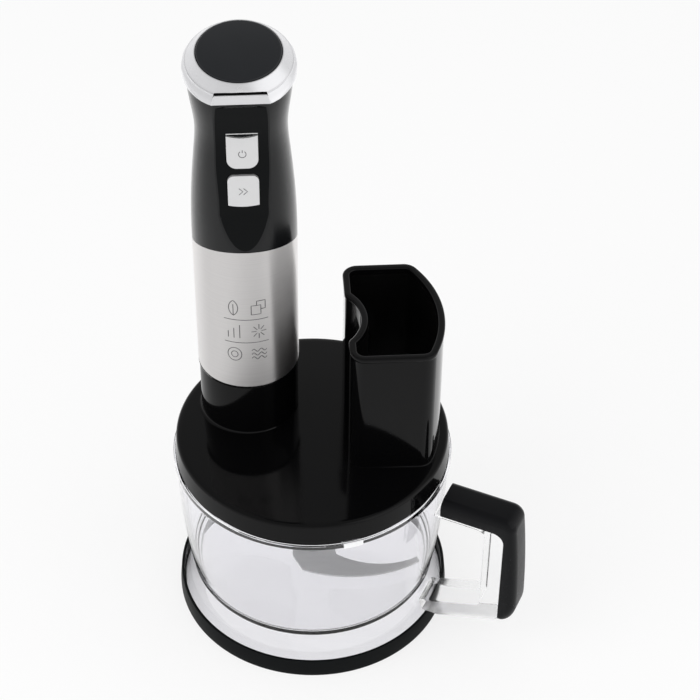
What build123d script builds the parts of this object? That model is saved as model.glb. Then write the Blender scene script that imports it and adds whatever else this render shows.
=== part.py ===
from build123d import *

import math
import os

# Stick-blender motor unit docked on its food processor bowl.
# Millimetres, +Z up. The origin is the point on the worktop under the bowl's axis,
# and -Y is the front, where the two buttons face.

# ---------------------------------------------------------------- clearances
SEAT_GAP = 0.2          # between a part and the face it rests on
SLIDE_GAP = 0.3         # round a part that lifts or slides out
RUN_GAP = 0.06          # radial, shaft in its bore
BUTTON_GAP = 0.3       # round a button in its window

# ---------------------------------------------------------------- non-slip base
RING_R = 82.0           # at the worktop
RING_TAPER = 0.9        # how much the ring narrows to its top
RING_H = 11.6
RING_WALL = 2.6         # at the worktop, outside the skirt
LEDGE_H = 2.0           # ledge that the bowl's skirt stands on
LEDGE_W = 1.8
DISC_T = 1.6

# ---------------------------------------------------------------- bowl
SKIRT_T = 2.0
SKIRT_H = 22.8          # from the foot of the skirt to the floor's underside
SKIRT_FLARE = 5.7       # how far the skirt spreads below the floor
FLOOR_T = 3.2
FLOOR_FILLET = 5.0
WALL_H = 82.5           # from the floor's underside to the ridge
WALL_FLARE = 6.8        # how far the wall widens from the floor to the ridge
WALL_BULGE = 1.35       # how far the wall bows out of a straight taper
WALL_T = 2.3
RIDGE_OUT = 1.2         # the ridge round the bayonet channel, proud of the wall
RIDGE_H = 5.0
CHANNEL_H = 2.8
CHANNEL_LIFT = 0.7      # channel's floor above the ridge's underside
CHANNEL_DEPTH = 1.9
BOSS_R = 7.0
BOSS_H = 2.0
PIN_R = 3.1
PIN_H = 60.0            # above the floor
PIN_SOCKET = 1.0        # floor left under the pin

# ---------------------------------------------------------------- bayonet
LUG_COUNT = 4
LUG_ANGLE = 6.8         # degrees wide
LUG_OUT = 1.5
LUG_AT = -80.8          # where the front lug sits when locked
TWIST = 7.5             # degrees from locked to open
NOTCH_EXTRA = 1.2       # degrees, notch width over the lug
NOTCH_GAP = 0.3

# ---------------------------------------------------------------- bowl handle
HANDLE_AT = -24.6       # degrees from +X
HANDLE_W = 21.0
ARM_TOP_DROP = 3.5      # top of the grip below the ridge's top
ARM_H = 10.6
ARM_GAP = 4.2           # from the ridge to where the black grip begins
GRIP_REACH = 53.3       # from the ridge to the outer face at its widest
GRIP_T = 9.9            # there
GRIP_LEAN = 4.6         # how far the outer face falls back at the top
GRIP_BOW = 2.6          # and how far it bows out of the straight line
GRIP_END_Z = 24.8
GRIP_CORNER = 8.0
GRIP_INNER_CORNER = 7.0
GRIP_WALL = 2.2
FRAME_STRIP = 2.4       # clear strip that shows under the grip's arm
FRAME_WEB = 12.2        # clear depth inside the vertical grip
FRAME_FLANGE = 2.4
FRAME_MID = 3.0
RIB_GAP = 0.05          # of the clear rib in the black cover, glued
FOOT_ARM_H = 12.2
FOOT_ARM_GAP = 0.8      # over the non-slip ring
FOOT_ARM_RUN = 5.0      # level part of its underside, from the ring outwards
FOOT_ARM_RISE = 0.333   # slope of the rest

# ---------------------------------------------------------------- blade
BLADE_T = 1.4
BLADE_TIP_GAP = 8.9     # tip short of the floor's outer corner, measured along X
BLADE_TIP_Y = 20.2
BLADE_TIP_W = 3.4
BLADE_TIP_CUT = 1.6
BLADE_BELLY_X = 26.0    # cutting edge at its fullest
BLADE_BELLY_Y = 31.6
BLADE_HEEL_X = 5.9      # where the cutting edge starts, behind the axis
BLADE_HEEL_Y = 26.0
BLADE_HOLLOW_X = 36.0   # back edge at its deepest
BLADE_HOLLOW_Y = 21.6
BLADE_NECK_X = 14.0
BLADE_NECK_Y = 13.0
BLADE_PLATE = 12.0      # half width of the root plate
HUB_LIFT = 0.4          # hub above the floor's boss
HUB_FLANGE_R = 13.5
HUB_FLANGE_H = 1.6
HUB_R = 9.6
HUB_NECK_R = 8.0
BLADE_SPACING = 27.0
CUP_R = 12.0
CUP_BORE_R = 9.4
CUP_H = 12.0
RIB_REACH = 3.0
DOG_ANGLE = 30.0        # width of each rib and of each wing
DOG_COUNT = 3
DOG_CORE_R = 4.6
DOG_WING_GAP = 0.5
DOG_FLOOR_GAP = 1.2

# ---------------------------------------------------------------- lid
LID_WALL_H = 13.0       # outer wall, from its foot on the bowl's rim to the edge
LID_WALL_T = 2.3
LID_TAPER = 1.1         # how much wider the wall is at its foot
LID_SHOULDER = 2.0      # rounding of the edge
LID_CROWN = 1.5
LID_PLATE_T = 2.5
LID_EDGE_IN = 0.9       # edge inside the top of the bowl's wall
LID_SKIRT_T = 2.2
COLLAR_R = 28.4
COLLAR_WALL = 3.2
COLLAR_H = 36.8
COLLAR_FLOOR = 5.8      # above the lid's edge
COLLAR_FOOT = 1.8       # fillet round the foot of the collar
TUBE_H = 84.3           # feed tube above the lid's edge
TUBE_WALL = 3.6
TUBE_LIP = 0.5
TUBE_LIP_H = 3.0
TUBE_IN = 5.7           # outer wall, inside the lid's edge and concentric with it
TUBE_BITE_R = 27.8      # inner wall curves round the gear housing
TUBE_LEFT = 19.8
TUBE_BACK = 44.6
TUBE_FRONT = -35.6
TUBE_CORNER = 8.0
TUBE_BITE_CORNER = 4.0
TUBE_BELOW = 3.0
TUBE_SLOT_AT = -21.0    # degrees, blind slot at the foot of the outer wall
TUBE_SLOT_W = 2.2
TUBE_SLOT_H = 19.0
TUBE_SLOT_DEPTH = 1.4

# ---------------------------------------------------------------- gear train
MODULE = 1.25
INPUT_TEETH = 12
IDLER_TEETH = 12
OUTPUT_TEETH = 33
PRESSURE_ANGLE = 20.0
ADDENDUM = 0.85         # in modules
DEDENDUM = 1.15
BACKLASH = 0.2
GEAR_T = 7.0
GEAR_TOP_GAP = 1.2      # under the lid plate
GEAR_BOTTOM_GAP = 1.2
HOUSING_WALL = 2.0
HOUSING_GAP = 1.0       # outside the gears' tips
COVER_T = 2.6
STEM_R = 7.5
STEM_TOP = 14.0         # stem above the collar's floor
PIVOT_R = 3.0
PIVOT_DEPTH = 1.6
IDLER_PIN_R = 2.0
BUSH_WALL = 2.2
BUSH_FLANGE_R = 8.6
BUSH_FLANGE_T = 1.0
SCREW_R = 1.3
SCREW_HEAD_R = 2.7
SCREW_HEAD_H = 1.8
SCREW_LEN = 10.0
SCREW_SLOT_L = 3.2
SCREW_SLOT_W = 0.7
SCREW_SLOT_H = 1.2
SCREW_BOSS_R = 3.8
HEX_FLATS = 8.4
HEX_GAP = 0.1

# ---------------------------------------------------------------- motor unit
MOTOR_AT = 148.4        # degrees, direction of the motor's axis from the bowl's
UNIT_YAW = 3.1          # how far the front of the unit and of the tube is turned
NOSE_DROP = 29.5        # nose into the collar
NOSE_WALL = 3.0
NOSE_RECESS_R = 11.0
NOSE_RECESS_H = 17.0
NOSE_FLANGE_T = 1.2
SLEEVE_R = 29.0
SLEEVE_T = 0.8
SLEEVE_H = 88.2         # at the axis
SLEEVE_SLOPE = 0.33     # rise of the sleeve's top edge towards the front
SPIGOT_T = 2.0
SPIGOT_H = 6.0
CUT_REACH = 80.0        # cutting blocks run this far beyond the unit

GRIP_H = 108.4          # from the sleeve's top edge to the top ring, at the axis
GRIP_SHELL_T = 2.6
WAIST_R = 24.65
WAIST_DROP = 32.4       # waist below the top ring
SHOULDER_R = 28.3
SHOULDER_DROP = 79.6
GRIP_TOP_R = 29.2
TOP_TILT = 11.3         # degrees, the top faces the front
FLAT_HALF = 14.5        # half width of the flat front

PANEL_T = 1.8
PANEL_INSET = 0.6
PANEL_GAP = 0.12
CREASE_DROP = 75.6      # where the flat front bends out to the scoop
SCOOP_DROP = 102.0      # where the scoop runs out on the sleeve side
PANEL_TOP_DROP = 8.0

BUTTON_W = 16.6
BUTTON_TRAVEL = 2.0
BUTTON_PROUD = 1.2
BUTTON_FLANGE = 1.0
BUTTON_STEM_R = 2.2
POWER_DROP = 27.2       # top edge below the top ring
POWER_H = 20.3
TURBO_DROP = 51.9
TURBO_H = 18.6
POWER_DISH = 1.6        # how far the upper button's top edge dips
BUTTON_ROUND = 5.0

RING_CAP_R = 29.7
RING_CAP_TOP_R = 28.4
RING_CAP_H = 5.2
RING_CAP_RISE = 5.0
RING_CAP_SEAT = 0.1     # over the grip's rim
RING_CAP_FLOOR_T = 1.6
RING_PLUG_R = 19.6
RING_PLUG_T = 2.0
RING_PLUG_H = 4.0
RING_CAP_FLAT = 25.3
SLOT_H = 1.7
SLOT_DROP = 0.5
SLOT_DEPTH = 1.6
SLOT_W = 27.0
DIAL_R = 22.3
DIAL_GAP = 0.3
DIAL_PROUD = 0.8
DIAL_CROWN = 1.3
DIAL_EDGE = 1.2
DIAL_T = 8.0
DIAL_STEM_R = 3.0
DIAL_RANGE = 270.0
POT_R = 8.0
POT_H = 7.0

GLAND_R = 5.2
GLAND_BORE_R = 3.6
GLAND_LEN = 13.0
GLAND_FLANGE_R = 7.0
GLAND_FLANGE_T = 2.0
GLAND_SEAT = 2.5
GLAND_DROP = 18.0       # below the top ring
GLAND_TILT = 30.0       # degrees up

# ---------------------------------------------------------------- motor
FRAME_PLATE_T = 4.0
MOTOR_H = 58.0          # between the frame's two plates
FRAME_ARM_T = 2.6
FRAME_ARM_ANGLE = 50.0
VENT_R = 3.2
VENT_OUT = 17.0
CORE_H = 26.0
CORE_LIFT = 15.6        # above the lower plate
CORE_BORE_R = 13.2
AIR_GAP = 0.6
COIL_H = 5.0
COIL_T = 6.0
SHAFT_R = 3.0
SHAFT_ABOVE = 3.0
COMMUTATOR_R = 8.5
COMMUTATOR_H = 9.0
COMMUTATOR_LIFT = 46.6
BRUSH_W = 6.0
BRUSH_H = 5.0
BEARING_R = 7.0
BEARING_H = 4.0
FAN_R = 22.0
FAN_H = 8.0
FAN_LIFT = 2.6
FAN_BLADES = 8
FAN_BLADE_T = 1.2
FAN_HUB_R = 6.0
BOARD_W = 26.0
BOARD_T = 1.6
BOARD_H = 62.0
BOARD_BACK = 4.5        # board's front face before the axis
BOARD_DROP = 20.0
RAIL_T = 1.4            # either side of the board's edge
RAIL_GRIP = 1.5
SWITCH_W = 8.0
SWITCH_H = 10.0

# ---------------------------------------------------------------- heights, from the worktop up
Z_FOOT = LEDGE_H + SEAT_GAP
Z_UNDER = Z_FOOT + SKIRT_H
Z_FLOOR = Z_UNDER + FLOOR_T
Z_RIDGE = Z_UNDER + WALL_H
Z_CHANNEL = Z_RIDGE + CHANNEL_LIFT
Z_CHANNEL_TOP = Z_CHANNEL + CHANNEL_H
Z_RIM = Z_RIDGE + RIDGE_H
Z_SEAT = Z_RIM + SEAT_GAP
Z_EDGE = Z_SEAT + LID_WALL_H
Z_CROWN = Z_EDGE + LID_CROWN
Z_PLATE = Z_EDGE - LID_PLATE_T
Z_SKIRT = Z_CHANNEL + NOTCH_GAP
Z_GEAR_TOP = Z_PLATE - GEAR_TOP_GAP
Z_GEAR = Z_GEAR_TOP - GEAR_T
Z_COVER_TOP = Z_GEAR - GEAR_BOTTOM_GAP
Z_COVER = Z_COVER_TOP - COVER_T
Z_TUBE = Z_EDGE + TUBE_H
Z_COLLAR_FLOOR = Z_EDGE + COLLAR_FLOOR
Z_COLLAR = Z_EDGE + COLLAR_H
Z_NOSE_FLANGE = Z_COLLAR + SEAT_GAP
Z_NOSE = Z_NOSE_FLANGE - NOSE_DROP
Z_SLEEVE = Z_NOSE_FLANGE + NOSE_FLANGE_T
Z_SLEEVE_TOP = Z_SLEEVE + SLEEVE_H
Z_TOP = Z_SLEEVE_TOP + GRIP_H
Z_MOTOR = Z_SLEEVE + SPIGOT_H
Z_BRIDGE = Z_MOTOR + FRAME_PLATE_T + MOTOR_H
Z_BOSS = Z_FLOOR + BOSS_H
Z_HUB = Z_BOSS + HUB_LIFT
Z_PIN_TOP = Z_FLOOR + PIN_H
Z_BLADE = Z_HUB + HUB_FLANGE_H
Z_DOG_TOP = Z_COVER - BUSH_FLANGE_T
Z_CUP_TOP = Z_DOG_TOP - 2 * SEAT_GAP

# ---------------------------------------------------------------- radii that follow
RING_BORE_R = RING_R - RING_WALL
SKIRT_FOOT_R = RING_BORE_R - SLIDE_GAP
DISC_R = RING_BORE_R - LEDGE_W
FLOOR_R = SKIRT_FOOT_R - SKIRT_FLARE
WALL_TOP_R = FLOOR_R + WALL_FLARE
RIM_BORE_R = WALL_TOP_R - WALL_T
RIDGE_R = WALL_TOP_R + RIDGE_OUT
CHANNEL_R = RIM_BORE_R + CHANNEL_DEPTH
LID_SKIRT_R = RIM_BORE_R - NOTCH_GAP
LUG_R = LID_SKIRT_R + LUG_OUT
LID_EDGE_R = WALL_TOP_R - LID_EDGE_IN
TUBE_OUTER_R = LID_EDGE_R - TUBE_IN
ARM_START = RIDGE_R + ARM_GAP
GRIP_OUT_R = RIDGE_R + GRIP_REACH
BLADE_REACH = FLOOR_R - BLADE_TIP_GAP
COLLAR_BORE_R = COLLAR_R - COLLAR_WALL
NOSE_R = COLLAR_BORE_R - SLIDE_GAP
SLEEVE_BORE_R = SLEEVE_R - SLEEVE_T
FRAME_R = SLEEVE_BORE_R - SEAT_GAP
CORE_R = FRAME_R - FRAME_ARM_T
ARMATURE_R = CORE_BORE_R - AIR_GAP

# ---------------------------------------------------------------- gear centres
GEAR_SPAN = MODULE * (INPUT_TEETH / 2 + IDLER_TEETH + OUTPUT_TEETH / 2)
IDLER_SPAN = MODULE * (IDLER_TEETH + OUTPUT_TEETH) / 2
TOWARDS_MOTOR = math.radians(MOTOR_AT)
MOTOR_XY = (GEAR_SPAN * math.cos(TOWARDS_MOTOR), GEAR_SPAN * math.sin(TOWARDS_MOTOR))
IDLER_XY = (IDLER_SPAN * math.cos(TOWARDS_MOTOR), IDLER_SPAN * math.sin(TOWARDS_MOTOR))
UNIT = Location((*MOTOR_XY, 0), (0, 0, UNIT_YAW))
HANDLE = Location((0, 0, 0), (0, 0, HANDLE_AT))
DIAL_TOP = RING_CAP_H + RING_CAP_RISE + DIAL_PROUD
TILT_BACK = DIAL_TOP * math.sin(math.radians(TOP_TILT))
TILT_UP = TILT_BACK * math.tan(math.radians(TOP_TILT))
TILT = Location((0, TILT_BACK, Z_TOP + TILT_UP), (TOP_TILT, 0, 0))


def save(part, name):
    """Write one node's solids to its own file."""
    export_step(part, os.path.join("parts", name + ".step"))


def rod(radius, low, high, at=(0, 0)):
    """An upright cylinder between two heights."""
    blank = Cylinder(radius, high - low, align=(Align.CENTER, Align.CENTER, Align.MIN))
    return Pos(at[0], at[1], low) * blank


def pipe(radius, bore, low, high, at=(0, 0)):
    """An upright tube between two heights."""
    return rod(radius, low, high, at) - rod(bore, low - 1, high + 1, at)


def block(x, y, z):
    """A box from three (low, high) spans."""
    sizes = [high - low for low, high in (x, y, z)]
    return Pos(x[0], y[0], z[0]) * Box(*sizes, align=(Align.MIN, Align.MIN, Align.MIN))


def turned(*outline):
    """A solid turned about Z from (radius, height) points or ready-made edges."""
    if isinstance(outline[0], tuple):
        face = make_face(Polyline(*outline, close=True))
    else:
        face = make_face(list(outline))
    return revolve(Plane.XZ * face, Axis.Z)


def raised(sketch, low, high):
    """A flat sketch extruded between two heights."""
    return extrude(Pos(0, 0, low) * sketch, amount=high - low)


def sector(inner, outer, low, high, middle, width):
    """Part of a tube that spans a few degrees about Z."""
    wedge = turned((inner, low), (outer, low), (outer, high), (inner, high))
    reach = 2 * outer
    half = math.radians(width / 2)
    cutter = make_face(Polyline(
        (0, 0),
        (reach * math.cos(half), -reach * math.sin(half)),
        (reach * math.cos(half), reach * math.sin(half)),
        close=True,
    ))
    return Rot(0, 0, middle) * (wedge & raised(cutter, low - 1, high + 1))


def together(pieces):
    """Separate solids that make up one node."""
    return Part() + pieces


def round_the_rim(shape_at, count, first):
    """Copies of a shape at even angles about Z."""
    return [shape_at(first + index * 360 / count) for index in range(count)]


# ---------------------------------------------------------------- non-slip base
def non_slip_ring():
    """Rubber ring that the bowl's skirt drops into."""
    top_r = RING_R - RING_TAPER
    lip = 1.0
    return turned(
        (DISC_R, 0), (RING_R, 0), (RING_R, LEDGE_H), (top_r, RING_H - lip), (top_r - lip, RING_H),
        (RING_BORE_R + lip / 2, RING_H), (RING_BORE_R, RING_H - lip), (RING_BORE_R, LEDGE_H), (DISC_R, LEDGE_H),
    )


def base_disc():
    """Clear disc that closes the ring, so that it doubles as a storage lid."""
    return rod(DISC_R, 0, DISC_T)


# ---------------------------------------------------------------- bowl
def wall_arc(inset, low, high_z):
    """The bowed wall line, moved in by inset, from a low point up to a height."""
    top = (WALL_TOP_R - inset, high_z)
    middle = ((FLOOR_R + WALL_TOP_R) / 2 + WALL_BULGE - inset, (low[1] + high_z) / 2)
    return ThreePointArc(low, middle, top)


def bowl():
    """Clear bowl with its skirt, bayonet channel and pin boss."""
    inner_low = (FLOOR_R - WALL_T + 1.2, Z_FLOOR + FLOOR_FILLET)
    floor_edge = (inner_low[0] - FLOOR_FILLET, Z_FLOOR)
    fillet_mid = (inner_low[0] - FLOOR_FILLET * 0.293, Z_FLOOR + FLOOR_FILLET * 0.293)
    outer_wall = wall_arc(0, (FLOOR_R, Z_UNDER), Z_RIDGE)
    inner_wall = wall_arc(WALL_T, inner_low, Z_CHANNEL)
    rim = Polyline(
        (WALL_TOP_R, Z_RIDGE), (RIDGE_R, Z_RIDGE + 0.8), (RIDGE_R, Z_RIM - 0.4),
        (RIDGE_R - 0.4, Z_RIM), (RIM_BORE_R, Z_RIM), (RIM_BORE_R, Z_CHANNEL_TOP),
        (CHANNEL_R, Z_CHANNEL_TOP), (CHANNEL_R, Z_CHANNEL), (RIM_BORE_R, Z_CHANNEL),
    )
    floor = Polyline(
        floor_edge, (BOSS_R, Z_FLOOR), (BOSS_R, Z_BOSS), (PIN_R, Z_BOSS), (PIN_R, Z_UNDER + PIN_SOCKET),
        (0, Z_UNDER + PIN_SOCKET), (0, Z_UNDER), (FLOOR_R - SKIRT_T, Z_UNDER),
        (SKIRT_FOOT_R - SKIRT_T, Z_FOOT), (SKIRT_FOOT_R, Z_FOOT), (FLOOR_R, Z_UNDER),
    )
    body = turned(outer_wall, rim, inner_wall, ThreePointArc(inner_low, fillet_mid, floor_edge), floor)
    width = LUG_ANGLE + NOTCH_EXTRA
    notch_r = LUG_R + NOTCH_GAP

    def notch(angle):
        return sector(RIM_BORE_R - 1, notch_r, Z_CHANNEL_TOP - 0.1, Z_RIM + 1, angle, width)

    return body - round_the_rim(notch, LUG_COUNT, LUG_AT + TWIST)


def bowl_envelope():
    """The bowl's outside as one solid, used to seat the handle on it."""
    outer_wall = wall_arc(0, (FLOOR_R, Z_UNDER), Z_RIDGE)
    rest = Polyline(
        (WALL_TOP_R, Z_RIDGE), (RIDGE_R, Z_RIDGE + 0.8), (RIDGE_R, Z_RIM), (0, Z_RIM),
        (0, Z_FOOT), (SKIRT_FOOT_R, Z_FOOT), (FLOOR_R, Z_UNDER),
    )
    return turned(outer_wall, rest)


def spindle_pin():
    """Steel pin that the blade turns on."""
    tip = 1.0
    return turned(
        (0, Z_UNDER + PIN_SOCKET), (PIN_R, Z_UNDER + PIN_SOCKET), (PIN_R, Z_PIN_TOP - tip),
        (PIN_R - tip, Z_PIN_TOP), (0, Z_PIN_TOP),
    )


# ---------------------------------------------------------------- bowl handle, drawn in its own upright plane
Z_GRIP_TOP = Z_RIDGE + RIDGE_H - ARM_TOP_DROP
Z_ARM = Z_GRIP_TOP - ARM_H
GRIP_IN_R = GRIP_OUT_R - GRIP_T


def rounded(sketch, corners, radius):
    """A sketch with the named corners rounded."""
    chosen = [v for v in sketch.vertices() if any(
        abs(v.X - x) < 0.01 and abs(v.Y - z) < 0.01 for x, z in corners)]
    return fillet(chosen, radius)


def side_view(sketch, half_width):
    """A side-view sketch made solid across the handle's width."""
    return extrude(Plane.XZ * sketch, amount=half_width, both=True)


def outline_of(*points):
    """A straight-sided side-view sketch."""
    return make_face(Polyline(*points, close=True))


def grip_side(inset):
    """Side view of the black cover, moved in by inset on its outer sides."""
    top = Z_GRIP_TOP - inset
    end = GRIP_END_Z + inset
    outer = GRIP_OUT_R - inset
    start = ARM_START + inset
    corner = (outer - GRIP_LEAN, top)
    middle = (outer - GRIP_LEAN / 2 + GRIP_BOW / 2, (top + end) / 2)
    face = make_face([
        ThreePointArc(corner, middle, (outer, end)),
        Polyline((outer, end), (GRIP_IN_R, end), (GRIP_IN_R, Z_ARM), (start, Z_ARM), (start, top), corner),
    ])
    face = rounded(face, [corner, (outer, end)], GRIP_CORNER - inset)
    return face


def handle_grip():
    """Black cover over the handle's top arm and outer side."""
    half = HANDLE_W / 2
    reach = GRIP_INNER_CORNER
    web = outline_of((GRIP_IN_R, Z_ARM), (GRIP_IN_R, Z_ARM - reach), (GRIP_IN_R - reach, Z_ARM))
    curve = Pos(GRIP_IN_R - reach, Z_ARM - reach) * Circle(reach)
    outside = side_view(grip_side(0), half) + side_view(web - curve, half)
    return outside - grip_rib(0)


def grip_rib(gap):
    """The space inside the cover, or the clear rib that fills it when gap is taken off."""
    return side_view(grip_side(GRIP_WALL + gap), HANDLE_W / 2 - GRIP_WALL - gap)


def handle_frame():
    """Clear handle frame: root, arm strip, inner upright and sloping foot arm."""
    half = HANDLE_W / 2
    strip = Z_ARM - FRAME_STRIP
    inner = GRIP_IN_R - FRAME_WEB
    root = WALL_TOP_R - 6
    low = RING_H + FOOT_ARM_GAP
    level_end = RING_R + FOOT_ARM_RUN
    bottom = low + FOOT_ARM_RISE * (GRIP_IN_R - level_end)
    foot_top = low - FOOT_ARM_RISE * (level_end - root) + FOOT_ARM_H
    reach = GRIP_INNER_CORNER
    skin = side_view(outline_of(
        (root, strip), (root, Z_GRIP_TOP - 0.4), (ARM_START - SEAT_GAP, Z_GRIP_TOP - 0.4),
        (ARM_START - SEAT_GAP, Z_ARM), (GRIP_IN_R - reach, Z_ARM), (GRIP_IN_R, Z_ARM - reach),
        (GRIP_IN_R, bottom), (level_end, low), (root, low), (root, foot_top),
        (inner, foot_top + FOOT_ARM_RISE * (inner - root)), (inner, strip),
    ), half)
    pocket_low = foot_top + FOOT_ARM_RISE * (GRIP_IN_R - root) + FRAME_FLANGE
    pocket_high = Z_ARM - reach - FRAME_FLANGE
    pocket_depth = half - FRAME_MID / 2
    pocket = side_view(outline_of(
        (inner + FRAME_FLANGE, pocket_low), (inner + FRAME_FLANGE, pocket_high),
        (GRIP_IN_R - FRAME_FLANGE, pocket_high), (GRIP_IN_R - FRAME_FLANGE, pocket_low),
    ), pocket_depth / 2)
    pockets = [Pos(0, side * (half - pocket_depth / 2), 0) * pocket for side in (-1, 1)]
    return skin - pockets + grip_rib(RIB_GAP) - bowl_envelope()


# ---------------------------------------------------------------- blade
def blade_arm(z):
    """One curved arm with its ring round the hub, flat at a height."""
    reach = BLADE_REACH
    heel = (-BLADE_HEEL_X, -BLADE_HEEL_Y)
    neck = (BLADE_NECK_X, -BLADE_NECK_Y)
    point = (reach, -BLADE_TIP_Y)
    point_back = (reach - BLADE_TIP_CUT, BLADE_TIP_W - BLADE_TIP_Y)
    outer = ThreePointArc(heel, (BLADE_BELLY_X, -BLADE_BELLY_Y), point)
    tip = Line(point, point_back)
    inner = ThreePointArc(point_back, (BLADE_HOLLOW_X, -BLADE_HOLLOW_Y), neck)
    back = Polyline(neck, (BLADE_PLATE, 0), (-BLADE_PLATE, 0), (-BLADE_PLATE, -BLADE_PLATE * 7 / 6), heel)
    sketch = make_face([outer, tip, inner, back]) + Circle(HUB_FLANGE_R)
    return raised(sketch - Circle(HUB_NECK_R + RUN_GAP), z, z + BLADE_T)


def lower_blade():
    """Lower arm, just above the bowl's floor."""
    return blade_arm(Z_BLADE)


def upper_blade():
    """Upper arm, opposite the lower one."""
    return Rot(0, 0, 180) * blade_arm(Z_BLADE + BLADE_SPACING)


def blade_hub():
    """Tall hub on the pin, with a ribbed cup at its top."""
    low, high = Z_BLADE, Z_BLADE + BLADE_SPACING
    cup_floor = Z_CUP_TOP - CUP_H
    bore = PIN_R + RUN_GAP
    body = turned(
        (bore, Z_HUB), (HUB_FLANGE_R, Z_HUB), (HUB_FLANGE_R, low), (HUB_NECK_R, low), (HUB_NECK_R, low + BLADE_T),
        (HUB_R + 1.6, low + BLADE_T), (HUB_R, low + BLADE_T + 4), (HUB_R, high), (HUB_NECK_R, high),
        (HUB_NECK_R, high + BLADE_T), (HUB_R, high + BLADE_T), (HUB_R, cup_floor - 4), (CUP_R, cup_floor),
        (CUP_R, Z_CUP_TOP), (CUP_BORE_R, Z_CUP_TOP), (CUP_BORE_R, cup_floor + 1), (bore, cup_floor + 1),
    )

    def rib(angle):
        return sector(CUP_BORE_R - RIB_REACH, CUP_BORE_R + 0.5, cup_floor + 0.5, Z_CUP_TOP, angle, DOG_ANGLE)

    return body + round_the_rim(rib, DOG_COUNT, 180 / DOG_COUNT)


# ---------------------------------------------------------------- gears
def gear_face(teeth, tooth_at):
    """A spur gear's outline, with one tooth pointing at an angle in degrees."""
    pitch_r = MODULE * teeth / 2
    base_r = pitch_r * math.cos(math.radians(PRESSURE_ANGLE))
    tip_r = pitch_r + ADDENDUM * MODULE
    root_r = pitch_r - DEDENDUM * MODULE

    def involute(radius):
        slope = math.acos(min(1.0, base_r / radius))
        return math.tan(slope) - slope

    def half_tooth(radius):
        full = math.pi / 2 / teeth + involute(pitch_r) - involute(max(radius, base_r))
        return full - BACKLASH / 4 / pitch_r

    radii = [root_r, max(base_r, root_r + 0.3), pitch_r, (pitch_r + tip_r) / 2, tip_r]
    points = []
    for index in range(teeth):
        middle = math.radians(tooth_at) + index * math.tau / teeth
        rising = [(radius, middle - half_tooth(radius)) for radius in radii]
        falling = [(radius, middle + half_tooth(radius)) for radius in reversed(radii)]
        points += [(radius * math.cos(a), radius * math.sin(a)) for radius, a in rising + falling]
    return make_face(Polyline(*points, close=True))


def hexagon(flats):
    """A hexagon by its width across flats."""
    return RegularPolygon(flats / 2, 6, major_radius=False)


def input_gear():
    """Pinion under the collar, with the stem that takes the motor's drive."""
    gear = raised(gear_face(INPUT_TEETH, MOTOR_AT + 180), Z_GEAR, Z_GEAR_TOP)
    stem_top = Z_COLLAR_FLOOR + STEM_TOP
    stem = rod(STEM_R, Z_GEAR_TOP, stem_top)
    pivot = rod(PIVOT_R, Z_COVER_TOP - PIVOT_DEPTH + SEAT_GAP, Z_GEAR)
    socket = Rot(0, 0, UNIT_YAW) * raised(hexagon(HEX_FLATS), Z_PLATE, stem_top + 1)
    return Pos(*MOTOR_XY) * (gear + stem + pivot - socket)


def idler_gear():
    """Idler between the pinion and the output gear."""
    tooth_at = MOTOR_AT + 180 / IDLER_TEETH
    gear = raised(gear_face(IDLER_TEETH, tooth_at), Z_GEAR, Z_GEAR_TOP)
    return Pos(*IDLER_XY) * (gear - rod(IDLER_PIN_R + RUN_GAP, Z_GEAR - 1, Z_GEAR_TOP + 1))


def idler_pin():
    """Steel pin that carries the idler."""
    return rod(IDLER_PIN_R, Z_COVER_TOP - PIVOT_DEPTH, Z_PLATE + PIVOT_DEPTH, IDLER_XY)


def output_gear():
    """Large gear on the bowl's axis, with the winged drive that enters the hub's cup."""
    gear = raised(gear_face(OUTPUT_TEETH, MOTOR_AT), Z_GEAR, Z_GEAR_TOP)
    pivot = rod(PIVOT_R, Z_GEAR_TOP, Z_PLATE + PIVOT_DEPTH - SEAT_GAP)
    bottom = Z_CUP_TOP - CUP_H + 1 + DOG_FLOOR_GAP
    shaft = rod(DOG_CORE_R, Z_PIN_TOP + 1 if Z_PIN_TOP + 1 > bottom else bottom, Z_GEAR)
    wing_r = CUP_BORE_R - DOG_WING_GAP

    def wing(angle):
        return sector(DOG_CORE_R - 0.5, wing_r, bottom, Z_DOG_TOP - 1, angle, DOG_ANGLE)

    return gear + pivot + shaft + round_the_rim(wing, DOG_COUNT, 0)


def output_bush():
    """Flanged bush in the gearbox cover."""
    bore = DOG_CORE_R + RUN_GAP
    flange = pipe(BUSH_FLANGE_R, bore, Z_COVER - BUSH_FLANGE_T, Z_COVER)
    return flange + pipe(DOG_CORE_R + BUSH_WALL, bore, Z_COVER - 0.1, Z_COVER_TOP)


OUTPUT_TIP_R = MODULE * (OUTPUT_TEETH / 2 + ADDENDUM)
INPUT_TIP_R = MODULE * (INPUT_TEETH / 2 + ADDENDUM)
HOUSING_R = OUTPUT_TIP_R + HOUSING_GAP + HOUSING_WALL
HOUSING_END_R = INPUT_TIP_R + HOUSING_GAP + HOUSING_WALL + 1.5
SCREW_SPOTS = [
    (HOUSING_R + SCREW_BOSS_R - 1, 100.0),
    (HOUSING_R + SCREW_BOSS_R - 1, -120.0),
    (GEAR_SPAN + HOUSING_END_R + SCREW_BOSS_R - 1, MOTOR_AT),
]


def screw_places():
    """Centres of the three gearbox screws."""
    return [(r * math.cos(math.radians(a)), r * math.sin(math.radians(a))) for r, a in SCREW_SPOTS]


def housing_outline(inset):
    """Pear-shaped outline round the three gears."""
    large = Circle(HOUSING_R - inset)
    small = Pos(*MOTOR_XY) * Circle(HOUSING_END_R - inset)
    return make_hull(large.edges() + small.edges())


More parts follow.
